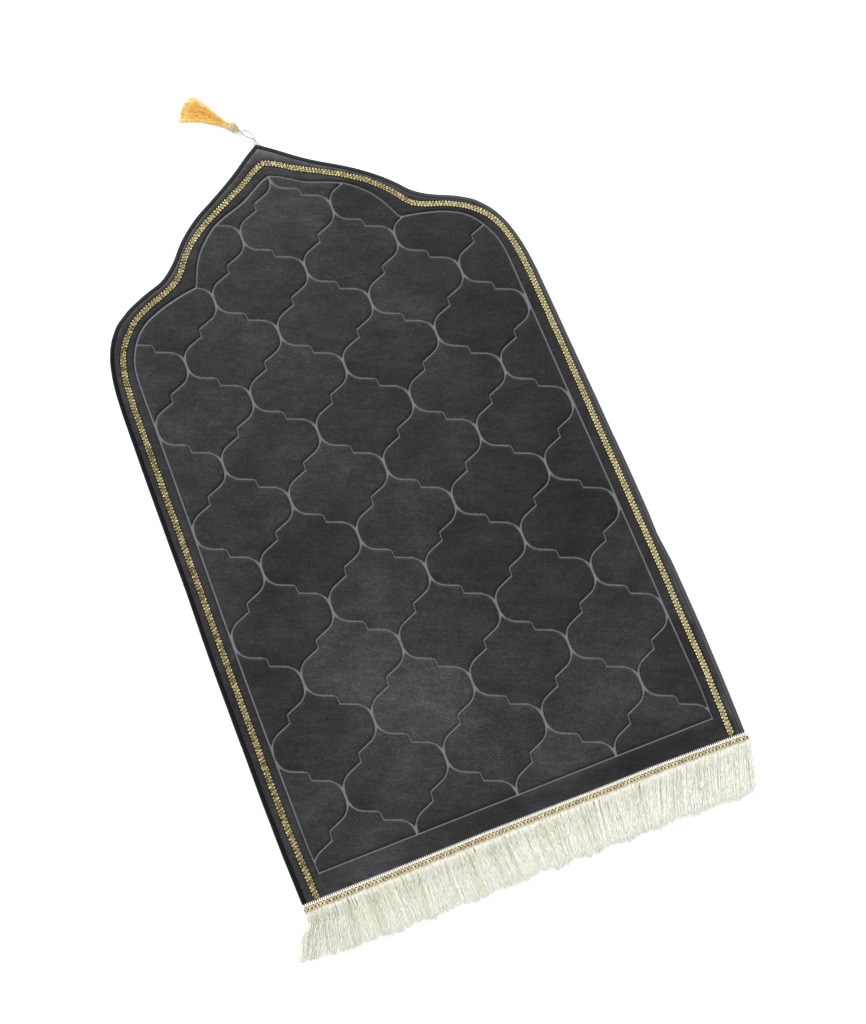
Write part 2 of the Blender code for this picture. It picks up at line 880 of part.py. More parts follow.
def main():
    clear_scene()
    for name in (PARTS, CUTTERS):
        group = bpy.data.collections.new(name)
        bpy.context.scene.collection.children.link(group)
    gold = material("gold_thread", GOLD, 0.35, 0.8)
    rug_body(material("velvet", VELVET, 0.9))
    edge_binding(material("binding_tape", BINDING_BLACK, 0.8))
    gold_braid(gold)
    fringe(material("fringe_yarn", FRINGE_WHITE, 0.6))
    heading_gold(gold)
    tassel(material("tassel_yarn", TASSEL_YELLOW, 0.5))
    cord = material("cord", CORD_GREY, 0.6)
    loop_cord("loop_cord_left", CORD_A, cord)
    loop_cord("loop_cord_right", CORD_B, cord)


main()
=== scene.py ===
"""The looks of a padded prayer mat: velvet with a pressed trellis, gold braid, fringe and tassel.

Plan tables are in millimetres, measured from the tip of the pressed frame line, as in the part's
source. Shapes are worked out in them, and each piece is placed in metres as it is finished.
"""

import math

import bpy
import numpy as np
from mathutils import Matrix, Vector, kdtree, noise
from mathutils.geometry import delaunay_2d_cdt


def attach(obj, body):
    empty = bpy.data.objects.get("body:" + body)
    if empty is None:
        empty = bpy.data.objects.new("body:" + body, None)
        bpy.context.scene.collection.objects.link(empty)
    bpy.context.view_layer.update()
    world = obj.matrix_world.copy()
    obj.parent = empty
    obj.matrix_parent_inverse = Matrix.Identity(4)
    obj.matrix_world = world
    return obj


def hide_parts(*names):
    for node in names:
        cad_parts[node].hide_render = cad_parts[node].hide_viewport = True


MM = 0.001
FRAME_TIP_Y = 493.0  # from the part's origin to the tip of the pressed frame line
ON_MAT = (0.0, FRAME_TIP_Y, 0.0)

# Camera of the photograph, in metres
CAMERA_AT = Vector((-0.1920, -0.6488, 1.9791))
CAMERA_VIEW = Vector((0.11157, 0.26790, -0.95696))
CAMERA_UP = Vector((0.34773, 0.89157, 0.29014))
LENS_MM = 50.98
FLOOR_HALF = 6

# Quilting pattern
HALF_TILE = 72
ROW_PITCH = 83.5
SEAM_HALF = 1.65
SEAM_STEP = 0.4
TILE_ARC = 26
ARC_START_Y = 3.5
ARC_TURN = math.radians(67.4)
ARC_PARTS = 12
STEP_LOW = np.array((36.5, 35.9))
STEP_HIGH = np.array((35.5, 47.6))
LAST_ROW = 12
PATTERN_AT = np.array((-0.8, -0.5))
ROW_SLANT = -0.33  # each column of tiles sits this much higher than the last

# Heights above the floor
SEAM_Z = 7
PILLOW_RISE = 3.6
BAND_RISE = 2.8
BRAID_BED_Z = 8.5
HEADING_BED_Z = 8
BODY_EDGE_Z = 5.8
FLOOR_Z = -0.4

BINDING_WIDTH = 6
GAP = 0.3
BRAID_HALF = 4.6
HEADING_WIDTH = 12.5
HEADING_OVERLAP = 9
CORD_RADIUS = 0.65

ARCH_END_Y = -300  # the outlines are curves above this height, and straight below
SIDE_TOP_Y = -140  # where the long sides begin, for their tones
CURVE_PARTS = 6
PATH_STEP = 3

# Outline of the mat: height y, left edge x, right edge x
EDGE_ROWS = (
    (59.4, -0.2, -0.2), (49, -16.4, 13.9), (40, -28.5, 25.6),
    (22, -51.8, 47.1), (5, -76.8, 69.4), (-10, -100.4, 92.3),
    (-23, -121.7, 112.5), (-36, -138.5, 130.5), (-50, -154, 147.9),
    (-65, -167.4, 164.1), (-81, -179.4, 178.8), (-97, -194.7, 191.8),
    (-109, -211.2, 206.2), (-119, -237.2, 223.4), (-132, -264.6, 251.4),
    (-142, -279.4, 268.4), (-154, -294, 282.8), (-176, -308.8, 299.1),
    (-201, -318.4, 309.8), (-228, -323.7, 316.3), (-255, -326.4, 320),
    (-290, -327.5, 322), (-400, -327.5, 322.7), (-520, -326.6, 323.6),
    (-570, -326, 323.5), (-600, -326.2, 324), (-650, -326.7, 324.1),
    (-700, -326.6, 323.7), (-732, -326.2, 322.2), (-750, -325.9, 323.2),
    (-775, -325.6, 325), (-820, -324.7, 325), (-880, -324.1, 324.5),
    (-960, -322, 322.4), (-1010, -319.7, 320.2),
)

# Centre line of the gold braid: height y, left x, right x
BRAID_ROWS = (
    (23.4, -1.4, -1.4), (13.2, -21.3, 17.8), (-1, -42, 38.8),
    (-12.4, -62.7, 58.9), (-24, -82.8, 79.5), (-35.6, -103.4, 99.7),
    (-48.3, -123.9, 118.5), (-60.5, -139.6, 135.4), (-75, -154.5, 149.7),
    (-91, -167.1, 164.1), (-107, -177.2, 175), (-118, -188.6, 183.3),
    (-124, -197.9, 189.4), (-132, -214.7, 205.6), (-143, -240.7, 236.3),
    (-158.5, -265.9, 263.2), (-179.4, -284.2, 284.6), (-203, -298, 297.4),
    (-229, -304.2, 304.3), (-256, -306.9, 307.7), (-290, -308.4, 309.6),
    (-400, -308, 309.4), (-480, -307.6, 308.6), (-560, -306.8, 307.5),
    (-630, -306.6, 307.5), (-700, -306, 306.8), (-800, -304.9, 306),
    (-860, -304.7, 304.7), (-930, -303.4, 304.4), (-1029, -297.5, 299.9),
)

# Pressed frame line: height y, left x, right x
FRAME_ROWS = (
    (0.3, -1, -1), (-5.4, -15.1, 12.1), (-14.8, -30.2, 26.7),
    (-24, -44.4, 39.8), (-31, -57.9, 52.4), (-41, -84.7, 78),
    (-51, -104.8, 100.1), (-61, -117.3, 113.7), (-72, -128.5, 125.4),
    (-85.5, -139.8, 136.9), (-101, -148.6, 146.1), (-117.5, -155.8, 153.9),
    (-132.5, -161.4, 160.1), (-137, -163.5, 163.4), (-138.6, -173.4, 172.3),
    (-141, -187, 186.9), (-144.6, -199.8, 202.1), (-150.2, -218.5, 222.2),
    (-158.5, -238.3, 241.1), (-166, -251.4, 253), (-176.5, -263.5, 264.1),
    (-187.5, -271.7, 271.6), (-200.5, -279, 278.4), (-218, -285.7, 285.3),
    (-236, -288.8, 288.8), (-256, -289.8, 290.2), (-360, -289.3, 289.8),
    (-480, -289.3, 289.2), (-600, -289.9, 289.6), (-720, -290, 289),
    (-840, -288.7, 287.8), (-900, -287.8, 287.8), (-960, -286.8, 287.8),
)
FRAME_FOOT = ((285.4, -1002.2), (-284.7, -999.2))  # right and left corner
FRAME_NOTCH = 13  # row of the shoulder's notch
FRAME_STRAIGHT = 26  # first row of the straight sides

# Upper edge of the fringe heading: x, y
HEADING_ROWS = (
    (-318.4, -1030.9), (-250, -1031), (-154, -1031.3),
    (-60, -1031), (20, -1031.9), (100, -1033),
    (190, -1033.2), (250, -1034.6), (320.8, -1036.6),
)

# How the fringe's strands lean: x, sideways step for each millimetre of length
LEAN_ROWS = (
    (-322, 0), (-230, 0.06), (-150, -0.08), (-60, 0.08),
    (50, -0.04), (120, -0.14), (190, -0.36), (325, -0.34),
)

# Cords of the tassel's loop: x, y, z
CORD_A = (
    (-3, 58.65, 4),
    (-1.6, 63, 3),
    (-0.2, 69, 2.4),
    (0.1, 73.9, 2.35),
    (0.4, 79.4, 1.7),
    (-1.3, 86.2, 0.9),
    (-4.9, 90.8, 0.75),
    (-8.6, 92.3, 1.4),
    (-13, 91.3, 3.3),
)
CORD_B = (
    (7.2, 55.15, 4),
    (5.6, 59.5, 2.4),
    (2.8, 67.6, 0.95),
    (0.1, 73.4, 0.7),
    (-3.6, 76.7, 0.7),
    (-7.6, 80, 0.75),
    (-11.6, 85.6, 1.4),
    (-14.4, 90, 3.3),
)

TASSEL_CENTRE = np.array((-23.3, 100.3))
TASSEL_ANGLE = math.radians(134.6)
KNOT_Z = 7.1
KNOT_TILT = math.radians(16)
SKIRT_START = 4.4
SKIRT_END = 84

UP = np.array((0, 0, 1))

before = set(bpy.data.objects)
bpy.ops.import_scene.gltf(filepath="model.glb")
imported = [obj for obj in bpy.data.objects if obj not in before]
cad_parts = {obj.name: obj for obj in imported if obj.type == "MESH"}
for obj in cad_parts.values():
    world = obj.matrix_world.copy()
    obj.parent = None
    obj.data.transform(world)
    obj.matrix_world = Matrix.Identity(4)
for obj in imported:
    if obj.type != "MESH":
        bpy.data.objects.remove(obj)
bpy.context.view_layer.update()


# ---- plan curves ----


def unit(values):
    return np.clip(values, 0, 1)


def read_table(rows, at, column=1):
    """The column's value between the rows of a table whose first column is the place."""
    rows = np.asarray(rows, float)
    return np.interp(at, rows[:, 0], rows[:, column])


def curve_through(points, parts):
    """A Catmull-Rom curve through the points, each span in so many parts."""
    points = np.asarray(points, float)
    ends = np.vstack([2 * points[:1] - points[1:2], points, 2 * points[-1:] - points[-2:-1]])
    t = (np.arange(parts) / parts)[:, None]
    spans = []
    for a, b, c, d in zip(ends, ends[1:], ends[2:], ends[3:]):
        square = 2 * a - 5 * b + 4 * c - d
        cube = 3 * b - a - 3 * c + d
        spans.append(0.5 * (2 * b + (c - a) * t + square * t**2 + cube * t**3))
    return np.vstack([*spans, points[-1:]])


def subdivided(path, step):
    """The path with points added, so that none is further than the step from the next."""
    made = []
    for a, b in zip(path, path[1:]):
        count = max(1, math.ceil(np.linalg.norm(b - a) / step))
        made.append(a + (b - a) * (np.arange(count) / count)[:, None])
    return np.vstack([*made, path[-1:]])


def arch_path(rows):
    """Up the left side, over the tip and down the right side."""
    rows = np.asarray(rows)
    left = rows[:, (1, 0)]
    right = rows[:, (2, 0)]
    straight = int(np.flatnonzero(rows[:, 0] > ARCH_END_Y)[-1]) + 1
    arch_left = curve_through(left[:straight], CURVE_PARTS)[::-1]
    arch_right = curve_through(right[:straight], CURVE_PARTS)[1:]
    path = np.vstack([left[: straight - 1 : -1], arch_left, arch_right, right[straight:]])
    return subdivided(path, PATH_STEP)


def sideways(path, closed=False):
    """For each point the mitred step of one millimetre to the right of the path's way."""
    if closed:
        before = path - np.roll(path, 1, axis=0)
        after = np.roll(path, -1, axis=0) - path
    else:
        steps = np.diff(path, axis=0)
        before = np.vstack([steps[:1], steps])
        after = np.vstack([steps, steps[-1:]])
    first = before / np.linalg.norm(before, axis=1, keepdims=True)
    second = after / np.linalg.norm(after, axis=1, keepdims=True)
    total = first + second
    total = total / (1 + (first * second).sum(axis=1, keepdims=True))
    return np.column_stack([total[:, 1], -total[:, 0]])


def offset(path, distance, closed=False):
    return path + sideways(path, closed) * distance


def heading_y(x):
    return read_table(HEADING_ROWS, x)


def on_side(points, way):
    """Which points lie along a long side below the arch: the left for -1, the right for 1."""
    return unit(way * points[:, 0] / 60) * unit((SIDE_TOP_Y - points[:, 1]) / 60)


def cut_at_heading(path, below):
    """The path's two ends carried to a line so far below the heading's upper edge."""
    made = path.copy()
    for end, near in ((0, 1), (-1, -2)):
        y = heading_y(made[end, 0]) - below
        slope = (made[end, 0] - made[near, 0]) / (made[end, 1] - made[near, 1])
        made[end] = (made[end, 0] + slope * (y - made[end, 1]), y)
    return made


def frame_loop(outwards, step):
    """The pressed frame line as a clockwise loop, moved outwards by the distance."""
    rows = np.asarray(FRAME_ROWS)
    sides = []
    for column in (2, 1):
        points = rows[:, (column, 0)]
        arch = curve_through(points[: FRAME_NOTCH + 1], 4)
        shoulder = curve_through(points[FRAME_NOTCH:FRAME_STRAIGHT], 4)
        sides.append(np.vstack([arch, shoulder[1:], points[FRAME_STRAIGHT:]]))
    loop = offset(np.vstack([sides[0], FRAME_FOOT, sides[1][:0:-1]]), -outwards, closed=True)
    return subdivided(np.vstack([loop, loop[:1]]), step)


def inside(points, loop):
    x, y = points.T
    odd = np.zeros(len(points), bool)
    for (ax, ay), (bx, by) in zip(loop, np.roll(loop, -1, axis=0)):
        if ay != by:
            crosses = (ay > y) != (by > y)
            odd ^= crosses & (x < ax + (bx - ax) * (y - ay) / (by - ay))
    return odd


class Lines:
    """Tells how far points lie from a set of plan lines."""

    def __init__(self, samples):
        self.samples = samples
        self.tree = kdtree.KDTree(len(samples))
        for i, (x, y) in enumerate(samples[:, :2]):
            self.tree.insert((x, y, 0), i)
        self.tree.balance()

    def nearest(self, points):
        """How far each point is from the lines, and the closest sample."""
        found = [self.tree.find((x, y, 0)) for x, y in points]
        return np.array([hit[2] for hit in found]), self.samples[[hit[1] for hit in found]]

    def distance(self, points):
        return self.nearest(points)[0]


# ---- quilting pattern ----


def arc(centre, radius, start, end):
    turn = np.linspace(start, end, ARC_PARTS + 1)
    return centre + radius * np.column_stack([np.cos(turn), np.sin(turn)])


def meet(a, a_way, b, b_way):
    """Where two lines cross."""
    across = a_way[0] * b_way[1] - a_way[1] * b_way[0]
    gap = b - a
    return a + a_way * (gap[0] * b_way[1] - gap[1] * b_way[0]) / across


def tile_quarter(inset):
    """A quarter of a tile, moved in from its seams: upright side, arc, step, arc to the cusp."""
    side = np.array((HALF_TILE - TILE_ARC, ARC_START_Y))
    top = np.array((TILE_ARC, ROW_PITCH - ARC_START_Y))
    lower = arc(side, TILE_ARC - inset, 0, ARC_TURN)
    upper = arc(top, TILE_ARC + inset, math.pi + ARC_TURN, math.pi)
    slant = np.array((-math.sin(ARC_TURN), math.cos(ARC_TURN)))
    step = (STEP_HIGH - STEP_LOW) / np.linalg.norm(STEP_HIGH - STEP_LOW)
    step_at = STEP_LOW + np.array((-step[1], step[0])) * inset
    corners = [meet(lower[-1], slant, step_at, step), meet(upper[0], slant, step_at, step)]
    return np.vstack([lower, corners, upper])


def tile_loop(centre, inset, step):
    quarter = tile_quarter(inset)
    parts = []
    for flip in ((1, 1), (-1, 1), (-1, -1), (1, -1)):
        part = quarter * flip
        parts.append(part if flip[0] == flip[1] else part[::-1])
    return centre + subdivided(np.vstack([*parts, parts[0][:1]]), step)


def tile_centres():
    for row in range(LAST_ROW + 1):
        for column in range(-5, 6):
            if (row + column) % 2:
                yield PATTERN_AT + (column * HALF_TILE, column * ROW_SLANT - row * ROW_PITCH)


def seam_marks(points, broad):
    """Seam points with how broad the seam is pressed, and how far it lies across the key light."""
    way = np.gradient(points, axis=0)
    way /= np.linalg.norm(way, axis=1, keepdims=True) + 1e-9
    across = np.abs(way[:, 1] * LIGHT_WAY[0] - way[:, 0] * LIGHT_WAY[1])
    return np.column_stack([points, broad, across])


def seam_samples(frame_line):
    """Close points along the middle of every seam, each with its marks."""
    turn = np.linspace(0, ARC_TURN, ARC_PARTS + 1)
    broad = unit((np.cos(turn) - 0.8) / 0.18)
    broad = np.concatenate([broad, (0, 0), broad[::-1]])
    quarter = subdivided(np.column_stack([tile_quarter(0), broad]), SEAM_STEP)
    upright = np.array(((HALF_TILE, -ARC_START_Y), (HALF_TILE, ARC_START_Y)))
    upright = subdivided(upright, SEAM_STEP)
    lines = [seam_marks(quarter[:, :2] * (way, 1), quarter[:, 2]) for way in (1, -1)]
    lines = np.vstack([*lines, seam_marks(upright, np.ones(len(upright)))])
    found = [seam_marks(frame_line, read_table(FRAME_BROAD, frame_line[:, 1]))]
    for centre in tile_centres():
        found.append(lines + (*centre, 0, 0))
    samples = np.vstack(found)
    keep = inside(samples[:, :2], frame_line[:-1])
    keep[: len(frame_line)] = True
    return samples[keep]


# ---- meshes ----


def tube_faces(points, sides, tubes=1):
    """The walls and the two ends of tubes with so many points along them."""
    first = np.arange(tubes)[:, None, None] * points * sides
    along = np.arange(points - 1)[None, :, None] * sides
    k = np.arange(sides)
    a = first + along + k
    b = first + along + (k + 1) % sides
    walls = np.stack([a, b, b + sides, a + sides], -1).reshape(-1, 4)
    start = first[:, 0] + k[::-1]
    return [walls, start, first[:, 0] + (points - 1) * sides + k]


def raised(points, z):
    """The same points with their last number, the height, raised."""
    points = np.array(points, float)
    points[:, -1] += z
    return points


def placed(name, data):
    made = bpy.data.objects.new(name, data)
    bpy.context.scene.collection.objects.link(made)
    return made


class Shape:
    """Millimetre meshes gathered into one piece, each vertex with a tint for its material."""

    def __init__(self):
        self.verts, self.faces, self.slots, self.tints = [], [], [], []
        self.count = 0

    def add(self, verts, faces, tint=0, slot=0):
        """verts is an array of points, and faces a list of arrays of corner numbers."""
        for corners in faces:
            self.faces += (np.asarray(corners) + self.count).tolist()
            self.slots += [slot] * len(corners)
        self.verts.append(verts)
        self.tints.append(np.broadcast_to(tint, len(verts)))
        self.count += len(verts)

    def add_tubes(self, paths, radius, sides, tint=0, slot=0):
        """Closed tubes along paths (tube, point, xyz), whose radius and tint may vary."""
        tubes, points, _ = paths.shape
        way = np.gradient(paths, axis=1)
        across = np.cross(way, UP)
        across /= np.linalg.norm(across, axis=2, keepdims=True) + 1e-9
        over = np.cross(across, way)
        over /= np.linalg.norm(over, axis=2, keepdims=True) + 1e-9
        turn = 2 * math.pi * (np.arange(sides) + 0.5) / sides
        ring = np.cos(turn)[:, None] * across[:, :, None]
        ring = ring + np.sin(turn)[:, None] * over[:, :, None]
        width = np.broadcast_to(radius, (tubes, points))[..., None, None]
        verts = (paths[:, :, None] + width * ring).reshape(-1, 3)
        shade = np.broadcast_to(tint, (tubes, points)).reshape(-1)
        self.add(verts, tube_faces(points, sides, tubes), np.repeat(shade, sides), slot)

    def piece(self, name, materials, replaces=()):
        """The finished object, in metres, on the part's one body."""
        mesh = bpy.data.meshes.new(name)
        verts = (np.vstack(self.verts) + ON_MAT) * MM
        mesh.from_pydata(verts.tolist(), [], self.faces)
        for material in materials:
            mesh.materials.append(material)
        mesh.polygons.foreach_set("material_index", self.slots)
        tint = mesh.attributes.new("tint", "FLOAT", "POINT")
        tint.data.foreach_set("value", np.concatenate(self.tints).astype(np.float32))
        mesh.shade_smooth()
        made = placed(name, mesh)
        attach(made, "root")
        if replaces:
            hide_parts(*replaces)
        return made


class Track:
    """A plan path along which shapes are laid by their distance along it and across it."""

    def __init__(self, path):
        steps = np.linalg.norm(np.diff(path, axis=0), axis=1)
        self.at = np.concatenate([[0], np.cumsum(steps)])
        self.length = self.at[-1]
        self.path = path
        side = sideways(path)
        self.side = side / np.linalg.norm(side, axis=1, keepdims=True)

    def lay(self, along, across, z):
        """Points so far along the path and to the right of it, at a height."""
        made = []
        for at, way in zip(self.path.T, self.side.T):
            made.append(np.interp(along, self.at, at) + across * np.interp(along, self.at, way))
        return np.stack([*made, np.broadcast_to(z, made[0].shape)], -1)

    def repeat(self, pattern, pitch, start=0, end=None):
        """The pattern's points (along, across, z) at every pitch: an array (copy, point, xyz)."""
        pattern = np.asarray(pattern, float)
        starts = np.arange(start, self.length if end is None else end, pitch)
        along = np.clip(starts[:, None] + pattern[:, 0], 0, self.length)
        return self.lay(along, pattern[:, 1], pattern[:, 2])


def sweep(shape, path, section, tint=0, slot=0):
    """A closed section carried along the path: sideways offsets and heights, fixed or arrays."""
    side = sideways(path)
    ones = np.ones(len(path))
    corners = [
        np.column_stack([path + side * (across * ones)[:, None], z * ones]) for across, z in section
    ]
    verts = np.stack(corners, 1).reshape(-1, 3)
    shape.add(verts, tube_faces(len(path), len(section)), tint, slot)


# ---- mat ----

# Rows of points beside each seam: distance from the seam's foot, spacing along the row
PILLOW_GRADES = ((0, 2.2), (0.45, 2.3), (1.1, 2.6), (2.2, 3), (4.2, 4.2), (7.6, 6))
MARGIN_GRADES = ((0.4, 2.6), (1, 2.8), (2, 3.2), (3.6, 4.5))
CROWN_PITCH = 8
CROWN_CLEAR = 9  # from the middle of the braid

# How broad the frame line is pressed, by its height
FRAME_BROAD = ((-1003, 0), (-960, 0.15), (-880, 0.4), (-300, 0.45), (-200, 0.3), (0, 0.25))
LIGHT_WAY = np.array((-0.4, 0.92))  # towards the key light
NAP_TURN = -0.37  # way the crushed pile runs

FOOT_POINTS = 218  # between the two corners of the mat's foot
TILE_TONE = 0.06  # how much the tiles differ

# Where the pile is painted paler or darker, partly its own crushed tone and partly painted sheen
# and shade, as round the tip: x, y, reach along x, reach along y, share
PILE_AND_PAINTED_SHEEN_PATCHES = (
    (-20, -20, 150, 90, 0.12), (0, 42, 46, 16, 0.22),
    (-85, -830, 110, 150, 0.27), (150, -930, 80, 50, 0.14),
    (250, -560, 110, 330, -0.16), (-90, -170, 70, 60, 0.12),
    (-190, -1016, 80, 16, 0.14), (-210, -620, 60, 90, -0.1),
    (150, -1018, 190, 15, -0.26), (335, -560, 24, 600, 0.2),
)


def rounded(distance, sharp=0.95, wide=6, share=0.76):
    """How far a padded surface has risen at a distance from the foot of its seam, from 0 to 1."""
    distance = np.maximum(distance, 0)
    return share * (1 - np.exp(-distance / sharp)) + (1 - share) * (1 - np.exp(-distance / wide))


class MatFace:
    """The mat's upper surface over its plan."""

    def __init__(self):
        self.frame_line = frame_loop(0, SEAM_STEP)
        self.braid = arch_path(BRAID_ROWS)
        edge = offset(arch_path(EDGE_ROWS), BINDING_WIDTH + GAP)
        sides = cut_at_heading(edge, HEADING_OVERLAP)
        foot = np.linspace(sides[-1], sides[0], FOOT_POINTS + 2)[1:-1]
        foot[:, 1] = heading_y(foot[:, 0]) - HEADING_OVERLAP
        self.edge = np.vstack([sides, foot])
        self.seams = Lines(seam_samples(self.frame_line))
        self.frame = Lines(self.frame_line)
        self.braids = Lines(subdivided(cut_at_heading(self.braid, HEADING_OVERLAP), 0.5))
        self.rim = Lines(subdivided(np.vstack([self.edge, self.edge[:1]]), 0.5))

    def rows(self):
        """Rows of points along the seams, braid and rim, closest where the surface bends."""
        found = [subdivided(self.frame_line, 3)]
        for centre in tile_centres():
            found.append(self.clear_of_seams(tile_loop(centre, 0, 3), -0.05))
        for distance, step in PILLOW_GRADES:
            inset = SEAM_HALF + distance
            loops = [tile_loop(centre, inset, step) for centre in tile_centres()]
            loops.append(frame_loop(-inset, step))
            found.append(self.clear_of_seams(np.vstack(loops), inset - 0.06))
            outer = frame_loop(inset, step)
            found.append(outer[self.frame.distance(outer) > inset - 0.06])
        for distance, step in MARGIN_GRADES:
            for way in (-1, 1):
                found.append(offset(subdivided(self.braid, step), way * (BRAID_HALF + distance)))
            found.append(offset(subdivided(self.edge[:-FOOT_POINTS], step), distance))
        foot = np.arange(self.edge[:, 0].min(), self.edge[:, 0].max(), 3)
        for above in (-4, 0.5, 1.2, 2.2, 4):
            found.append(np.column_stack([foot, heading_y(foot) + above]))
        found.append(self.crowns())
        points = np.vstack(found)
        keep = inside(points, self.edge) & (self.rim.distance(points) > 0.35)
        return points[keep]

    def clear_of_seams(self, points, distance):
        points = points[inside(points, self.frame_line[:-1])]
        return points[self.seams.distance(points) > distance]

    def crowns(self):
        """An even scatter of points over the wide middles."""
        rng = np.random.default_rng(4)
        low = self.edge.min(axis=0)
        high = self.edge.max(axis=0)
        across = np.arange(low[0], high[0], CROWN_PITCH)
        x, y = np.meshgrid(across, np.arange(low[1], high[1], CROWN_PITCH * 0.87))
        x = x + (np.arange(len(x)) % 2 * CROWN_PITCH / 2)[:, None]
        points = np.column_stack([x.ravel(), y.ravel()])
        points += rng.uniform(-1.4, 1.4, points.shape)
        reach = SEAM_HALF + PILLOW_GRADES[-1][0] + 2.5
        points = points[self.seams.distance(points) > reach]
        return points[self.braids.distance(points) > CROWN_CLEAR]

    def heights(self, points):
        """The surface's height at each point, and what its material reads there."""
        seam, nearest = self.seams.nearest(points)
        within = inside(points, self.frame_line[:-1])
        pillow = SEAM_Z + PILLOW_RISE * rounded(seam - SEAM_HALF)
        band = SEAM_Z + BAND_RISE * rounded(seam - SEAM_HALF, wide=3)
        z = np.where(within, pillow, band)
        bed = BRAID_BED_Z + 1.5 * rounded(self.braids.distance(points) - BRAID_HALF - 0.5, wide=3)
        rim = BODY_EDGE_Z + 4 * rounded(self.rim.distance(points), wide=4)
        above = points[:, 1] - heading_y(points[:, 0]) - 0.5
        foot = HEADING_BED_Z + 2 * rounded(above, wide=4)
        z = np.where(within, z, np.minimum.reduce([z, bed, rim, foot]))
        z += self.unevenness(points) * rounded(seam - SEAM_HALF, sharp=3)
        # painted shade: the pile is darkened on the side of each seam that lies towards the key
        # light, where the pillow's wall faces away from it
        towards = (points - nearest[:, :2]) @ LIGHT_WAY / np.maximum(seam, 0.5)
        shade = unit(towards) * np.exp(-((np.maximum(seam - 1.5, 0) / 1.8) ** 2))
        # the pile's own tone, times the painted shade beside the seams and the painted light and
        # shade along the rim
        pile_tone_and_painted_shading = self.pile_tone_and_painted_shading(points) * (1 - 0.4 * shade) * self.painted_rim_light_and_shade(points)
        across = nearest[:, 3] ** 2
        # painted shade: the pressed strip is drawn narrower where the seam lies less across the key
        # light
        broad = nearest[:, 2] - 0.35 * (1 - across) * (1 - nearest[:, 2])
        # painted light: the pressed seam's own paleness is raised where the seam lies across the
        # key light, in place of the light its walls shade off
        pale = 0.094 + 0.034 * nearest[:, 2] + 0.058 * across**3
        return z, {"seam": np.minimum(seam, 8), "broad": broad, "pale": pale, "pile_tone_and_painted_shading": pile_tone_and_painted_shading}

    def painted_rim_light_and_shade(self, points):
        """Painted light and shade on the pile beside the binding, as the key light falls: pale
        round the arch and on the right, dark on the left.
        """
        left = on_side(points, -1)
        reach = 7.5 - 5.5 * left - 3.5 * on_side(points, 1)
        return 1 + (1.25 - 1.7 * left) * np.exp(-((self.rim.distance(points) / reach) ** 2))

    def pile_tone_and_painted_shading(self, points):
        """How pale the pile is painted: each tile by its own amount, and in a few wide patches that
        are partly the pile's own crushed tone and partly painted sheen and shade.
        """
        rng = np.random.default_rng(22586)
        tone = np.ones(len(points))
        for centre in tile_centres():
            near = np.flatnonzero(np.abs(points - centre).max(axis=1) < 90)
            own = rng.normal(0, TILE_TONE)
            tone[near[inside(points[near], tile_loop(centre, 0, 4)[:-1])]] += own
        for x, y, wide, tall, share in PILE_AND_PAINTED_SHEEN_PATCHES:
            apart = (points - (x, y)) / (wide, tall)
            tone += share * np.exp(-(apart**2).sum(axis=1))
        return tone**2.2

    def unevenness(self, points):
        """Soft dents of the padding and of the crushed pile."""
        made = np.zeros(len(points))
        for rise, scale, layer in ((0.45, 0.018, 1), (0.16, 0.07, 5)):
            made += [rise * noise.noise((x * scale, y * scale, layer)) for x, y in points]
        return made


def mat(velvet, backing):
    """The padded velvet mat, with a plain flat back."""
    face = MatFace()
    points = np.vstack([face.edge, face.rows()])
    rim = list(range(len(face.edge)))
    vectors = [Vector(p) for p in points]
    verts, _, triangles, _, _, owners = delaunay_2d_cdt(vectors, [], [rim[::-1]], 0, 1e-3, True)
    flat = np.array([tuple(v) for v in verts])
    kept = np.array([t for t, owner in zip(triangles, owners) if owner])
    z, values = face.heights(flat)
    shape = Shape()
    shape.add(np.column_stack([flat, z]), [kept])
    around = np.vstack([kept[:, (0, 1)], kept[:, (1, 2)], kept[:, (2, 0)]])
    sides = set(map(tuple, around.tolist()))
    open_edges = np.array([edge for edge in sides if (edge[1], edge[0]) not in sides])
    used, place = np.unique(open_edges, return_inverse=True)
    place = place.reshape(-1, 2)
    top = np.column_stack([flat[used], z[used]])
    low = np.column_stack([flat[used], np.zeros(len(used))])
    n = len(used)
    wall = np.stack([place[:, 1], place[:, 0], place[:, 0] + n, place[:, 1] + n], -1)
    shape.add(np.vstack([top, low]), [wall], 0, 1)
    under = dict(place.tolist())
    ring = [int(place[0, 0])]
    while under[ring[-1]] != ring[0]:
        ring.append(under[ring[-1]])
    shape.add(low[ring], [np.arange(n)[None, ::-1]], 0, 1)
    made = shape.piece("padded_mat", (velvet, backing), ["rug_body"])
    for name, value in values.items():
        whole = np.zeros(shape.count, np.float32)
        whole[: len(flat)] = value
        made.data.attributes.new(name, "FLOAT", "POINT").data.foreach_set("value", whole)
    return made


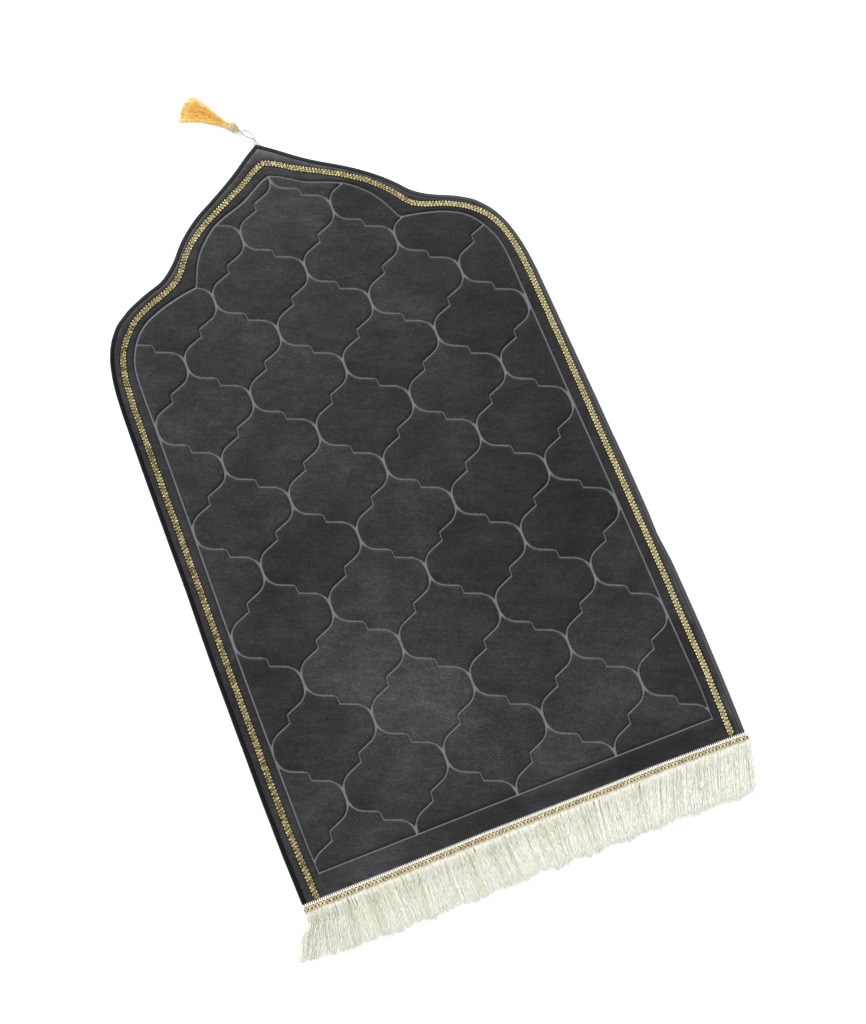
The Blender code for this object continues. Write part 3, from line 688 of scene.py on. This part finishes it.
def binding(tape, thread):
    """The rolled tape along the sides and the arch, with its line of stitches."""
    path = cut_at_heading(arch_path(EDGE_ROWS), HEADING_OVERLAP)
    x, y = path.T
    left = on_side(path, -1)
    full = 1 - left
    right = unit((x - 150) / 100)
    out = 0.35 + 0.3 * full + 0.6 * np.exp(-((x / 14) ** 2)) * (y > 0)
    # offset inwards, height, how pale; the paleness is painted light and shade, dark all down the
    # left side, paler towards the inner edge on the right, and darkest along the tape's foot
    rows = (
        (0.9 - out, 0, 0),
        (0.25 - out, 0.6, 0.1),
        (-out, 1.8, 0.2),
        (0.05 - out, 4.2, 0.2),
        (0.5 - 0.9 * out, 6, 0.24),
        (1.3 - 0.7 * out, 7.3, 0.28 + 0.08 * right),
        (2.4 - 0.4 * out, 8, 0.26 + 0.24 * right),
        (3.5, 7.9, 0.26 + 0.38 * right),
        (4.6, 7.1 + 0.6 * full, 0.3 + 0.4 * right),
        (5.4, 5.7 + 1.7 * full, 0.3 + 0.38 * right),
        (5.9, 3.6 + 3.2 * full, 0.2 + 0.45 * right),
        (6, 0, 0),
    )
    shape = Shape()
    # painted shade: on the left side every section takes one dark tint
    tint = np.stack([pale * full + 0.07 * left for _, _, pale in rows], 1).ravel()
    sweep(shape, path, [row[:2] for row in rows], tint)
    rise = ((0, 6.2), (0.4, 6.75), (1.3, 6.9), (2.2, 6.75), (2.6, 6.2))
    stitches = Track(path).repeat([(along, 4.9, z) for along, z in rise], 3.6, 1)
    stitches[..., 2] += 1 - on_side(stitches[:, 0], -1)[:, None]
    shape.add_tubes(stitches, 0.28, 4, 0.4, 1)
    return shape.piece("binding_tape", (tape, thread), ["edge_binding"])


# ---- gold trims ----


BRAID_PITCH = 4.9
BRAID_REACH = 3.65
TURN_PARTS = 12


def painted_braid_shine(points):
    """How bright the braid is painted to shine as the key light falls: least down the left side,
    most down the right.
    """
    x, y = points[:, 0], points[:, 1]
    return 0.87 + 0.32 * np.clip(x / 200, -1, 1) * unit((-60 - y) / 120)


def each_turn(turns, draws):
    """Numbers drawn evenly along the turns, run smoothly from one to the next."""
    along = np.arange(turns * TURN_PARTS) / TURN_PARTS
    return np.interp(along, np.arange(len(draws)) * turns / (len(draws) - 1), draws)


def gold_braid(gold, ground):
    """Yarns that zigzag between two rows of plump turns, with knots along the middle."""
    path = cut_at_heading(arch_path(BRAID_ROWS), -0.6)
    track = Track(path)
    low = BRAID_BED_Z
    shape = Shape()
    # painted shadow: a dark strip a little wider than the braid, laid under it on the velvet
    edge = ((-4.4, 0.1), (-4.3, 0.35), (4.3, 0.35), (4.4, 0.1))
    sweep(shape, path, raised(edge, low), 0, 1)
    tape = ((-3.3, 0.1), (-3.3, 0.7), (0, 0.95), (3.3, 0.7), (3.3, 0.1))
    sweep(shape, path, raised(tape, low), 0.9, 1)
    rng = np.random.default_rng(7)
    turns = int((track.length - 2) / BRAID_PITCH)
    along = np.arange(turns * TURN_PARTS) / TURN_PARTS
    phase = along * 2 * math.pi
    reach = np.cos(phase) * (1 + 0.12 * np.sin(phase) ** 2)
    swell = np.abs(np.cos(phase)) ** 3
    # painted light: each yarn is tinted darker down the left side and paler down the right
    lit = painted_braid_shine(track.lay(along * BRAID_PITCH, 0 * along, 0))
    for shift, girth, pale in ((0.35, 0.56, 1), (1.6, 0.42, 0.75)):
        own = each_turn(turns, rng.beta(0.5, 0.5, 4 * turns + 1))
        loose = each_turn(turns, rng.normal(0, 0.2, 2 * turns + 1))
        height = low + 1.2 + girth * 0.3 + 0.25 * swell
        place = track.lay(along * BRAID_PITCH + shift + loose, BRAID_REACH * reach + loose, height)
        tint = (0.2 + (1.7 - 1.2 * lit) * (own - 0.5) + 0.5 * swell) * lit * pale
        shape.add_tubes(place[None], girth + 0.3 * swell, 6, tint)
    knot = raised(((-0.7, -0.5, 1.4), (-0.2, 0.1, 1.95), (0.4, 0.5, 1.95), (0.8, 1.1, 1.4)), low)
    for start, tints in ((0.6, (0.2, 1.3)), (0.6 + BRAID_PITCH / 2, (0, 1.1))):
        chain = track.repeat(knot, BRAID_PITCH, start, track.length - 2)
        # painted light: the knots take the same painted shine by side
        lit = painted_braid_shine(chain[:, 0])[:, None]
        chain += rng.normal(0, 0.22, (len(chain), 1, 3))
        radius = np.array((0.3, 0.55, 0.55, 0.3)) * rng.uniform(0.8, 1.15, (len(chain), 1))
        shape.add_tubes(chain, radius, 5, rng.uniform(*tints, (len(chain), 1)) * lit)
    return shape.piece("gold_gimp", (gold, ground), ["gold_braid"])


STRIPE_PITCH = 5


def heading_track():
    return Track(subdivided(np.asarray(HEADING_ROWS, float), 4))


def gold_stripe(gold, ground):
    """Crossed gold yarns in a row of diamonds, on the fringe's heading."""
    track = heading_track()
    low = HEADING_BED_Z + GAP + 1.2
    path = offset(track.path, 6.4)
    path[0] += (0.5, 0)
    path[-1] += (-1, 0.35)
    shape = Shape()
    band = ((-2.2, 0), (-2.2, 0.45), (0, 0.6), (2.5, 0.45), (2.5, 0))
    sweep(shape, path, raised(band, low), 0.2, 1)
    track = Track(path)
    half = ((0, -2.3, 0.7), (0.6, -1.75, 1.15), (1.25, -0.9, 1.3), (1.9, 0, 1.35))
    leg = raised(half + ((2.5, 0.9, 1.3), (3.1, 1.75, 1.15), (3.75, 2.3, 0.7)), low)
    rng = np.random.default_rng(21)
    for lift, way in ((0, 1), (0.3, -1)):
        crossed = raised(leg * (1, way, 1), lift)
        for start in (0, 1.1):
            legs = track.repeat(crossed, STRIPE_PITCH, start, track.length - 3.5)
            legs += rng.normal(0, 0.13, (len(legs), 1, 3))
            shape.add_tubes(legs, 0.45, 5, rng.uniform(0.1, 1, (len(legs), 1)))
    for across in (-1.9, 2.45):
        edge = [(along, across, z) for along, z in ((0, 0.5), (0.5, 0.95), (1.3, 0.95), (1.8, 0.5))]
        stitches = track.repeat(raised(edge, low), STRIPE_PITCH / 2, 0, track.length - 1.8)
        shape.add_tubes(stitches, 0.42, 4, rng.uniform(0.2, 1, (len(stitches), 1)))
    return shape.piece("heading_gold_stripe", (gold, ground), ["fringe_gold_braid"])


# ---- fringe ----

# Left corner of the fringe, where it pinches and flares: share of the length, x beside it, drop
CORNER_ROWS = (
    (0, 0, 0), (0.25, -1.5, 14), (0.48, -15, 25),
    (0.75, -22.5, 43), (1, -31, 53.5),
)


FRINGE_LENGTH = 64
THREAD_RADIUS = 0.36


def heading_white(shape, track):
    """The heading's picots, its crochet rows with a row of small holes, and its lower band."""
    low = HEADING_BED_Z + GAP
    rng = np.random.default_rng(31)
    end = track.length - 1.5
    upper = ((0.9, 0), (0.9, 0.8), (2.5, 1), (2.9, 0.8), (2.9, 0))
    lower = ((8.9, 0), (8.9, 1), (10.6, 1.3), (12.4, 1), (12.4, 0))
    for band in (upper, lower):
        sweep(shape, track.path, raised(band, low))
    picot = ((0.2, 2, 1.2), (0.25, 0.4, 1.6), (0.6, -1.8, 1.2), (1.2, 0.4, 1.6), (1.15, 2, 1.2))
    stitch = ((0, 0.8, 1.2), (0.3, 1.4, 1.8), (0.7, 2.1, 1.8), (1, 2.8, 1.2))
    bridge = ((0, 2.6, 1.1), (0.1, 3.5, 1.2), (0.2, 4.4, 1.1))
    wrap = ((0, 8.7, 1), (0.05, 9.6, 1.65), (0, 10.9, 1.75), (0, 12.7, 1.1))
    for pattern, pitch, radius, start in (
        (picot, 2.8, 0.6, 0),
        (stitch, 2.8, 0.68, 0.3),
        (bridge, 5, 0.5, 0),
        (bridge, 5, 0.5, 1.1),
        (wrap, 0.95, 0.5, 0),
    ):
        copies = track.repeat(raised(pattern, low), pitch, start, end)
        pale = rng.uniform(0.3, 0.8, (len(copies), 1)) - (0.4 if pattern is wrap else 0)
        shape.add_tubes(copies, radius, 4, pale)


def fringe_threads(shape, track, locks, threads, lift, seed):
    """Locks of fine crinkled threads that hang over the mat's edge and lie on the floor."""
    rng = np.random.default_rng(seed)
    t = np.linspace(0, 1, 13)[None, :]
    end = track.length + 1.5
    lock = np.repeat(np.arange(locks), threads)[:, None]
    each = lock.shape
    beside = rng.uniform(-0.75, 0.75, each) * (end / locks)
    root = np.clip((lock + 0.5) / locks * end + beside, 0.3, end - 0.3)
    x = np.interp(root, track.at, track.path[:, 0]) + np.maximum(root - track.length, 0)
    y = heading_y(x) - HEADING_WIDTH + 0.6
    share = root / end
    gather = rng.uniform(0.1, 0.6, locks)[lock]
    wander = rng.normal(0, 2, locks)[lock]
    splay = rng.normal(0, 3.4, each)
    wave = rng.uniform(0, 2 * math.pi, each)
    length = FRINGE_LENGTH + 2 * share + 1.6 * np.sin(x / 9)
    length = length + rng.normal(0, 1.3, locks)[lock] + rng.normal(0, 1.6, each)
    length += 5.5 * unit((-270 - x) / 40) - rng.exponential(2.2, each)
    drift = 1.2 * np.sin(x / 17) + read_table(LEAN_ROWS, x) * length
    flare = np.maximum(0, 1 - share * 9) ** 1.4
    pull = read_table(CORNER_ROWS, t)
    drop = read_table(CORNER_ROWS, t, 2)
    bunch = 1 - gather * np.sin(math.pi * unit(t * 1.15)) ** 0.8
    px = x - beside + beside * bunch + (drift * t + wander * t**1.4) * (1 - flare) + pull * flare
    crinkle = rng.uniform(0.25, 0.8, each) * unit(t * 4)
    turns = t * length * 2 * math.pi / rng.uniform(8, 16, each)
    px = px + crinkle * np.sin(turns + wave) + splay * t
    py = y - length * t * (1 - flare) - drop * flare
    fall = unit(t * length / 17)
    pile = rng.uniform(0.3, 2.6, each) * (1 - 0.55 * t) + lift
    pz = (HEADING_BED_Z + GAP + 0.9) * (1 - fall) ** 1.4 + pile * (0.35 + 0.65 * fall)
    pz = pz + 0.8 * crinkle * np.cos(turns + wave) * (1 - 0.6 * t)
    paths = np.stack([px, py, np.maximum(pz, 0.35)], -1)
    tint = rng.uniform(0, 1, each) * 0.6 + rng.uniform(0, 0.25, locks)[lock]
    tint = tint + 0.16 * (share - 0.5)
    radius = THREAD_RADIUS * (1 - 0.4 * t**3)
    # painted light: each thread is paler near its root, against the heading's shade there; it is
    # also paler towards its tip
    shape.add_tubes(paths, radius, 3, unit(tint + 0.15 * (1 - t) ** 6 + 0.3 * t**2))


def fringe(yarn):
    """The heading's white work and the under layer of threads, then the threads that lie on top."""
    track = heading_track()
    under = Shape()
    heading_white(under, track)
    fringe_threads(under, track, 150, 11, 0, 41)
    over = Shape()
    fringe_threads(over, track, 118, 16, 0.9, 43)
    under.piece("fringe_heading", (yarn,), ["fringe"])
    over.piece("fringe_top_threads", (yarn,))


# ---- tassel ----


# Radius of the bound head along its axis
KNOT_ROWS = (
    (-13.4, 1.25), (-9.2, 1.45), (-7.6, 2.9), (-5.6, 5),
    (-3, 6.4), (0, 7), (3.4, 6.6), (7, 4.6),
)
KNOT_SIDES = 16
# Edges of the fan along its axis: on one side, on the other
SKIRT_SIDES = ((4, -3.1, 4.2), (12, -3.3, 5.7), (24, -3.6, 8.4), (52, -8.8, 19.4), (84, -24, 25.2))
# Lowest and highest threads along the axis
SKIRT_HEIGHTS = ((4, 2.4, 9.6), (14, 0.8, 9.2), (24, 0.3, 7.6), (44, 0.3, 4.6), (84, 0.3, 1.6))
SKIRT_THREADS = 760
SKIRT_LOCKS = 26


def tassel_place(along, side, z):
    """Plan millimetres from the tassel's own axes: along its axis, to its right, and up."""
    way = np.array((math.cos(TASSEL_ANGLE), math.sin(TASSEL_ANGLE)))
    along, side, z = np.broadcast_arrays(along, side, z)
    x = TASSEL_CENTRE[0] + way[0] * along + way[1] * side
    y = TASSEL_CENTRE[1] + way[1] * along - way[0] * side
    return np.stack([x, y, z], -1)


def tilted(along, side, up):
    """The same, for a point measured along the knot's tilted axis."""
    cos, sin = math.cos(KNOT_TILT), math.sin(KNOT_TILT)
    return tassel_place(along * cos - up * sin, side, KNOT_Z + along * sin + up * cos)


def tassel_knot(yarn):
    """The bound head: a core under crossed turns of yarn, and the twisted neck."""
    shape = Shape()
    rings = np.linspace(-13.2, 7, 24)
    turn = 2 * math.pi * np.arange(KNOT_SIDES) / KNOT_SIDES
    radius = read_table(KNOT_ROWS, rings)[:, None] * 0.93
    core = tilted(rings[:, None], radius * np.cos(turn), radius * np.sin(turn))
    shape.add(core.reshape(-1, 3), tube_faces(len(rings), KNOT_SIDES), 0.2)
    for way, turns, begin, end in ((1, 13, -7.6, 6.6), (-1, 9, -6.8, 6.4), (1, 7, -13.2, -7.6)):
        share = np.linspace(0, 1, int(turns * 18))
        along = begin + (end - begin) * share
        angle = way * 2 * math.pi * turns * share
        reach = read_table(KNOT_ROWS, along) * 0.98 + 0.1
        path = tilted(along, reach * np.cos(angle), reach * np.sin(angle))
        shape.add_tubes(path[None], 0.5, 5, 0.5 + 0.4 * np.sin(share * 40))
    return shape.piece("tassel_knot", (yarn,))


def tassel_skirt(yarn):
    """Crinkled silky threads that leave the head in a round bundle and fan out over the floor."""
    rng = np.random.default_rng(53)
    each = (SKIRT_THREADS, 1)
    t = np.linspace(0, 1, 14)[None, :]
    lock = rng.integers(0, SKIRT_LOCKS, SKIRT_THREADS)[:, None]
    fan = (lock + rng.uniform(-0.8, 0.8, each) + 0.5) / SKIRT_LOCKS * 2 - 1
    fan = np.clip(fan, -1.04, 1.04)
    level = rng.uniform(0, 1, each)
    reach = SKIRT_END + 2.5 + 2.5 * fan - 3 * fan**4 + rng.normal(0, 1.6, SKIRT_LOCKS)[lock]
    reach = reach + rng.normal(0, 1.5, each) - rng.exponential(1.8, each)
    along = SKIRT_START + (reach - SKIRT_START) * t
    one = read_table(SKIRT_SIDES, along)
    other = read_table(SKIRT_SIDES, along, 2)
    side = (one + other) / 2 + (other - one) / 2 * fan * 0.96
    side = side + rng.normal(0, 1.5, each) * t**1.5 + 0.8 * np.sin(t * 9 + lock) * t
    wave = rng.uniform(0, 2 * math.pi, each)
    turns = along * 2 * math.pi / rng.uniform(9, 16, each)
    crinkle = rng.uniform(0.2, 0.7, each) * unit(t * 3)
    side = side + crinkle * np.sin(turns + wave)
    low = read_table(SKIRT_HEIGHTS, along)
    high = read_table(SKIRT_HEIGHTS, along, 2)
    dome = np.sqrt(np.maximum(0, 1 - np.minimum(fan**2, 1))) * 0.8 + 0.2
    z = low + (high - low) * level**0.6 * dome + crinkle * np.cos(turns + wave)
    paths = tassel_place(along, side, np.maximum(z, 0.4))
    tint = 0.4 * rng.uniform(0, 1, SKIRT_LOCKS)[lock] + 0.4 * rng.uniform(0, 1, each) ** 2
    tint = tint + 0.45 * fan**2 + 0.36 * unit(1 - t / 0.22)
    shape = Shape()
    shape.add_tubes(paths, THREAD_RADIUS, 3, tint * (1 - 0.4 * t**3) + t**5 * 0.3)
    return shape.piece("tassel_threads", (yarn,), ["tassel"])


def loop_cord(name, rows, string):
    """One side of the tassel's string, on the same points as its solid."""
    data = bpy.data.curves.new(name, "CURVE")
    data.dimensions = "3D"
    data.bevel_depth = CORD_RADIUS * MM
    data.bevel_resolution = 3
    data.use_fill_caps = True
    points = (curve_through(rows, 4) + ON_MAT) * MM
    spline = data.splines.new("POLY")
    spline.points.add(len(points) - 1)
    for point, at in zip(spline.points, points):
        point.co = (*at, 1)
    data.materials.append(string)
    made = placed(name, data)
    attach(made, "root")
    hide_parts(name)
    made.name = name + "_string"
    return made


# ---- materials ----


def fill(node, values):
    """Sets the node's own sockets."""
    for name, value in values.items():
        node.inputs[name].default_value = value


class Look:
    """A material's nodes, with short names for those used here."""

    def __init__(self, name, roughness, metallic=0, sheen=0, specular=0.5):
        self.material = bpy.data.materials.new(name)
        self.material.use_nodes = True
        self.tree = self.material.node_tree
        self.shader = self.tree.nodes["Principled BSDF"]
        fill(self.shader, {"Roughness": roughness, "Metallic": metallic})
        fill(self.shader, {"Sheen Weight": sheen, "Specular IOR Level": specular})
        self.place = self.node("ShaderNodeTexCoord").outputs["Object"]

    def node(self, kind, **settings):
        made = self.tree.nodes.new(kind)
        for key, value in settings.items():
            setattr(made, key, value)
        return made

    def link(self, source, target):
        self.tree.links.new(source, target)

    def noise(self, scale, detail=2, roughness=0.5, distortion=0, stretch=None, turn=0):
        """Noise at so many features a metre, drawn out where stretch is low, on turned axes."""
        made = self.node("ShaderNodeTexNoise")
        fill(made, {"Scale": scale, "Detail": detail})
        fill(made, {"Roughness": roughness, "Distortion": distortion})
        place = self.place
        if stretch:
            mapping = self.node("ShaderNodeMapping", vector_type="TEXTURE")
            drawn = [1 / share for share in stretch]
            fill(mapping, {"Scale": drawn, "Rotation": (0, 0, turn)})
            self.link(place, mapping.inputs["Vector"])
            place = mapping.outputs["Vector"]
        self.link(place, made.inputs["Vector"])
        return made.outputs["Fac"]

    def value(self, name="tint"):
        """A number that the mesh keeps for each vertex."""
        return self.node("ShaderNodeAttribute", attribute_name=name).outputs["Fac"]

    def total(self, *parts):
        """The sum of the sources, each times its share."""
        made = None
        for source, share in parts:
            part = self.node("ShaderNodeMath", operation="MULTIPLY_ADD")
            self.link(source, part.inputs[0])
            part.inputs[1].default_value = share
            part.inputs[2].default_value = 0
            if made:
                self.link(made, part.inputs[2])
            made = part.outputs[0]
        return made

    def ramp(self, source, *stops):
        """Colours at places from 0 to 1."""
        made = self.node("ShaderNodeValToRGB")
        elements = made.color_ramp.elements
        while len(elements) < len(stops):
            elements.new(0.5)
        for element, (at, color) in zip(elements, stops):
            element.position = at
            element.color = (*color, 1)
        self.link(source, made.inputs["Fac"])
        return made.outputs["Color"]

    def mix(self, factor, first, second):
        made = self.node("ShaderNodeMix", data_type="RGBA")
        self.link(factor, made.inputs["Factor"])
        for source, socket in zip((first, second), [s for s in made.inputs if s.type == "RGBA"]):
            self.link(source, socket)
        return [s for s in made.outputs if s.type == "RGBA"][0]

    def scaled(self, color, factor):
        made = self.node("ShaderNodeVectorMath", operation="SCALE")
        self.link(color, made.inputs[0])
        self.link(factor, made.inputs["Scale"])
        return made.outputs[0]

    def color(self, source):
        self.link(source, self.shader.inputs["Base Color"])

    def bump(self, source, distance, strength=1):
        made = self.node("ShaderNodeBump")
        fill(made, {"Strength": strength, "Distance": distance})
        self.link(source, made.inputs["Height"])
        self.link(made.outputs["Normal"], self.shader.inputs["Normal"])


def velvet_look():
    """Charcoal pile, mottled and softly clouded, and pressed flat and paler along the seams."""
    look = Look("crushed_velvet", roughness=0.9, sheen=0.16, specular=0.15)
    fill(look.shader, {"Sheen Roughness": 0.45, "Sheen Tint": (0.75, 0.75, 0.8, 1)})
    cloud = look.noise(15, 4, 0.55, 0.6)
    streak = look.noise(75, 4, 0.6, 0.8, stretch=(0.4, 1.5, 1), turn=NAP_TURN)
    mottle = look.noise(280, 3, 0.6, 0.3, stretch=(0.6, 1.3, 1), turn=NAP_TURN)
    pile = look.noise(620, 2, 0.6)
    pile_color = look.ramp(
        look.total((cloud, 0.25), (streak, 0.2), (mottle, 0.2), (pile, 0.35)),
        (0.36, (0.0065, 0.0065, 0.0075)),
        (0.5, (0.0178, 0.0178, 0.0192)),
        (0.64, (0.0390, 0.0390, 0.0420)),
    )
    # the pressed strip's width, narrowed as painted shade where the seam lies along the key light
    seam = look.total((look.value("seam"), 0.25), (look.value("broad"), -0.1875))
    flat = look.ramp(seam, (0.14, (1, 1, 1)), (0.33, (0, 0, 0)))
    worn = look.ramp(mottle, (0.3, (0.85, 0.85, 0.89)), (0.7, (1.12, 1.12, 1.17)))
    # pale is the pressed seam's own paleness with painted light where the seam lies across the key
    # light
    seam_color = look.scaled(worn, look.value("pale"))
    # the pile's colour is scaled by its own tone, the painted shade beside the seams and the
    # painted light and shade along the rim
    look.color(look.mix(flat, look.scaled(pile_color, look.value("pile_tone_and_painted_shading")), seam_color))
    look.bump(look.total((streak, 1.6), (mottle, 0.8), (pile, 1.5)), 0.0006, 0.6)
    return look.material


def tape_look(name, dark, light, scale, shift=0):
    """Plain woven tape, paler by the shift where its value is high; on the binding that value is
    painted light and shade.
    """
    look = Look(name, roughness=0.9, sheen=0.02, specular=0.12)
    weave = look.noise(scale, 2, 0.5, stretch=(1, 0.35, 1), turn=0.6)
    shade = look.total((weave, 1 - shift), (look.value(), shift))
    look.color(look.ramp(shade, (0.15, dark), (0.85, light)))
    look.bump(weave, 0.0004, 0.6)
    return look.material


def gold_look(name, deep, bright):
    """Metal-wrapped yarn: paler turns where the tint is high, and fine wrapping. On the edge braid
    the tint carries painted shine, less down the left side and more down the right.
    """
    look = Look(name, roughness=0.38, metallic=0.75, specular=0.6)
    fleck = look.noise(700, 2, 0.6)
    shade = look.total((look.value(), 0.75), (fleck, 0.35))
    look.color(look.ramp(shade, (0.15, deep), (0.95, bright)))
    look.bump(look.noise(1600, 1), 0.0003, 0.5)
    return look.material


def thread_look(name, stops, sheen, roughness=0.5):
    """Silky threads, each with its own tint."""
    look = Look(name, roughness=roughness, sheen=sheen, specular=0.4)
    look.color(look.ramp(look.value(), *stops))
    look.bump(look.noise(1800, 1), 0.0002, 0.4)
    return look.material


def flat_look(name, color, roughness):
    """A surface that is not part of the mat."""
    look = Look(name, roughness)
    fill(look.shader, {"Base Color": (*color, 1)})
    return look.material


# ---- stage ----


def camera():
    data = bpy.data.cameras.new("photo_camera")
    data.lens = LENS_MM
    made = placed("photo_camera", data)
    back = -CAMERA_VIEW.normalized()
    up = CAMERA_UP.normalized()
    turn = Matrix((up.cross(back), up, back)).transposed()
    made.matrix_world = Matrix.LocRotScale(CAMERA_AT, turn.to_quaternion(), None)
    bpy.context.scene.camera = made


def area_light(name, at, size, power):
    data = bpy.data.lights.new(name, "AREA")
    data.size = size
    data.energy = power
    made = placed(name, data)
    made.location = at
    made.rotation_euler = (-Vector(at)).to_track_quat("-Z", "Y").to_euler()


def studio():
    """A pale floor, a white surround and a soft key light from beyond the arch's left."""
    mesh = bpy.data.meshes.new("floor")
    corners = [(FLOOR_HALF * x, FLOOR_HALF * y) for x, y in ((-1, -1), (1, -1), (1, 1), (-1, 1))]
    mesh.from_pydata([(x, y, FLOOR_Z * MM) for x, y in corners], [], [(0, 1, 2, 3)])
    mesh.materials.append(flat_look("pale_floor", (0.92, 0.92, 0.92), 0.9))
    floor = placed("floor", mesh)
    area_light("key", (-2, 4.5, 3.5), 2, 330)
    area_light("fill", (1.2, -2.2, 2.4), 2.5, 50)
    world = bpy.data.worlds.new("surround")
    world.use_nodes = True
    fill(world.node_tree.nodes["Background"], {"Color": (1, 1, 1, 1), "Strength": 1})
    bpy.context.scene.world = world
    bpy.context.scene.view_settings.view_transform = "Standard"


def main():
    camera()
    grey = ((0, (0.24, 0.23, 0.20)), (1, (0.42, 0.41, 0.37)))
    string = thread_look("tassel_string", grey, 0.1)
    loop_cord("loop_cord_left", CORD_A, string)
    loop_cord("loop_cord_right", CORD_B, string)
    backing = tape_look("backing_cloth", (0.02, 0.02, 0.022), (0.04, 0.04, 0.043), 500)
    mat(velvet_look(), backing)
    tape = tape_look("binding_weave", (0.004, 0.004, 0.005), (0.085, 0.085, 0.092), 900, 0.85)
    binding(tape, tape_look("binding_thread", (0.012, 0.012, 0.013), (0.030, 0.030, 0.033), 900))
    # the braid's dark ground, which also colours the strip painted as its shadow
    ground = gold_look("gold_ground", (0.010, 0.007, 0.003), (0.13, 0.095, 0.022))
    gold_braid(gold_look("gold_yarn", (0.065, 0.040, 0.005), (0.95, 0.86, 0.48)), ground)
    band = gold_look("heading_ground", (0.05, 0.03, 0.012), (0.50, 0.40, 0.22))
    gold_stripe(gold_look("heading_gold_yarn", (0.26, 0.18, 0.08), (0.84, 0.76, 0.54)), band)
    ivory = (
        (0, (0.50, 0.48, 0.38)),
        (0.4, (0.77, 0.76, 0.655)),
        (0.75, (0.85, 0.85, 0.77)),
        (1, (0.87, 0.875, 0.84)),
    )
    fringe(thread_look("fringe_silk", ivory, 0.2))
    beige = ((0, (0.36, 0.30, 0.14)), (1, (0.62, 0.55, 0.32)))
    tassel_knot(thread_look("knot_yarn", beige, 0.1))
    golden = (
        (0, (0.34, 0.15, 0.008)),
        (0.35, (0.56, 0.28, 0.03)),
        (0.7, (0.72, 0.47, 0.12)),
        (1, (0.80, 0.68, 0.38)),
    )
    tassel_skirt(thread_look("tassel_silk", golden, 0.15, 0.45))
    studio()


main()
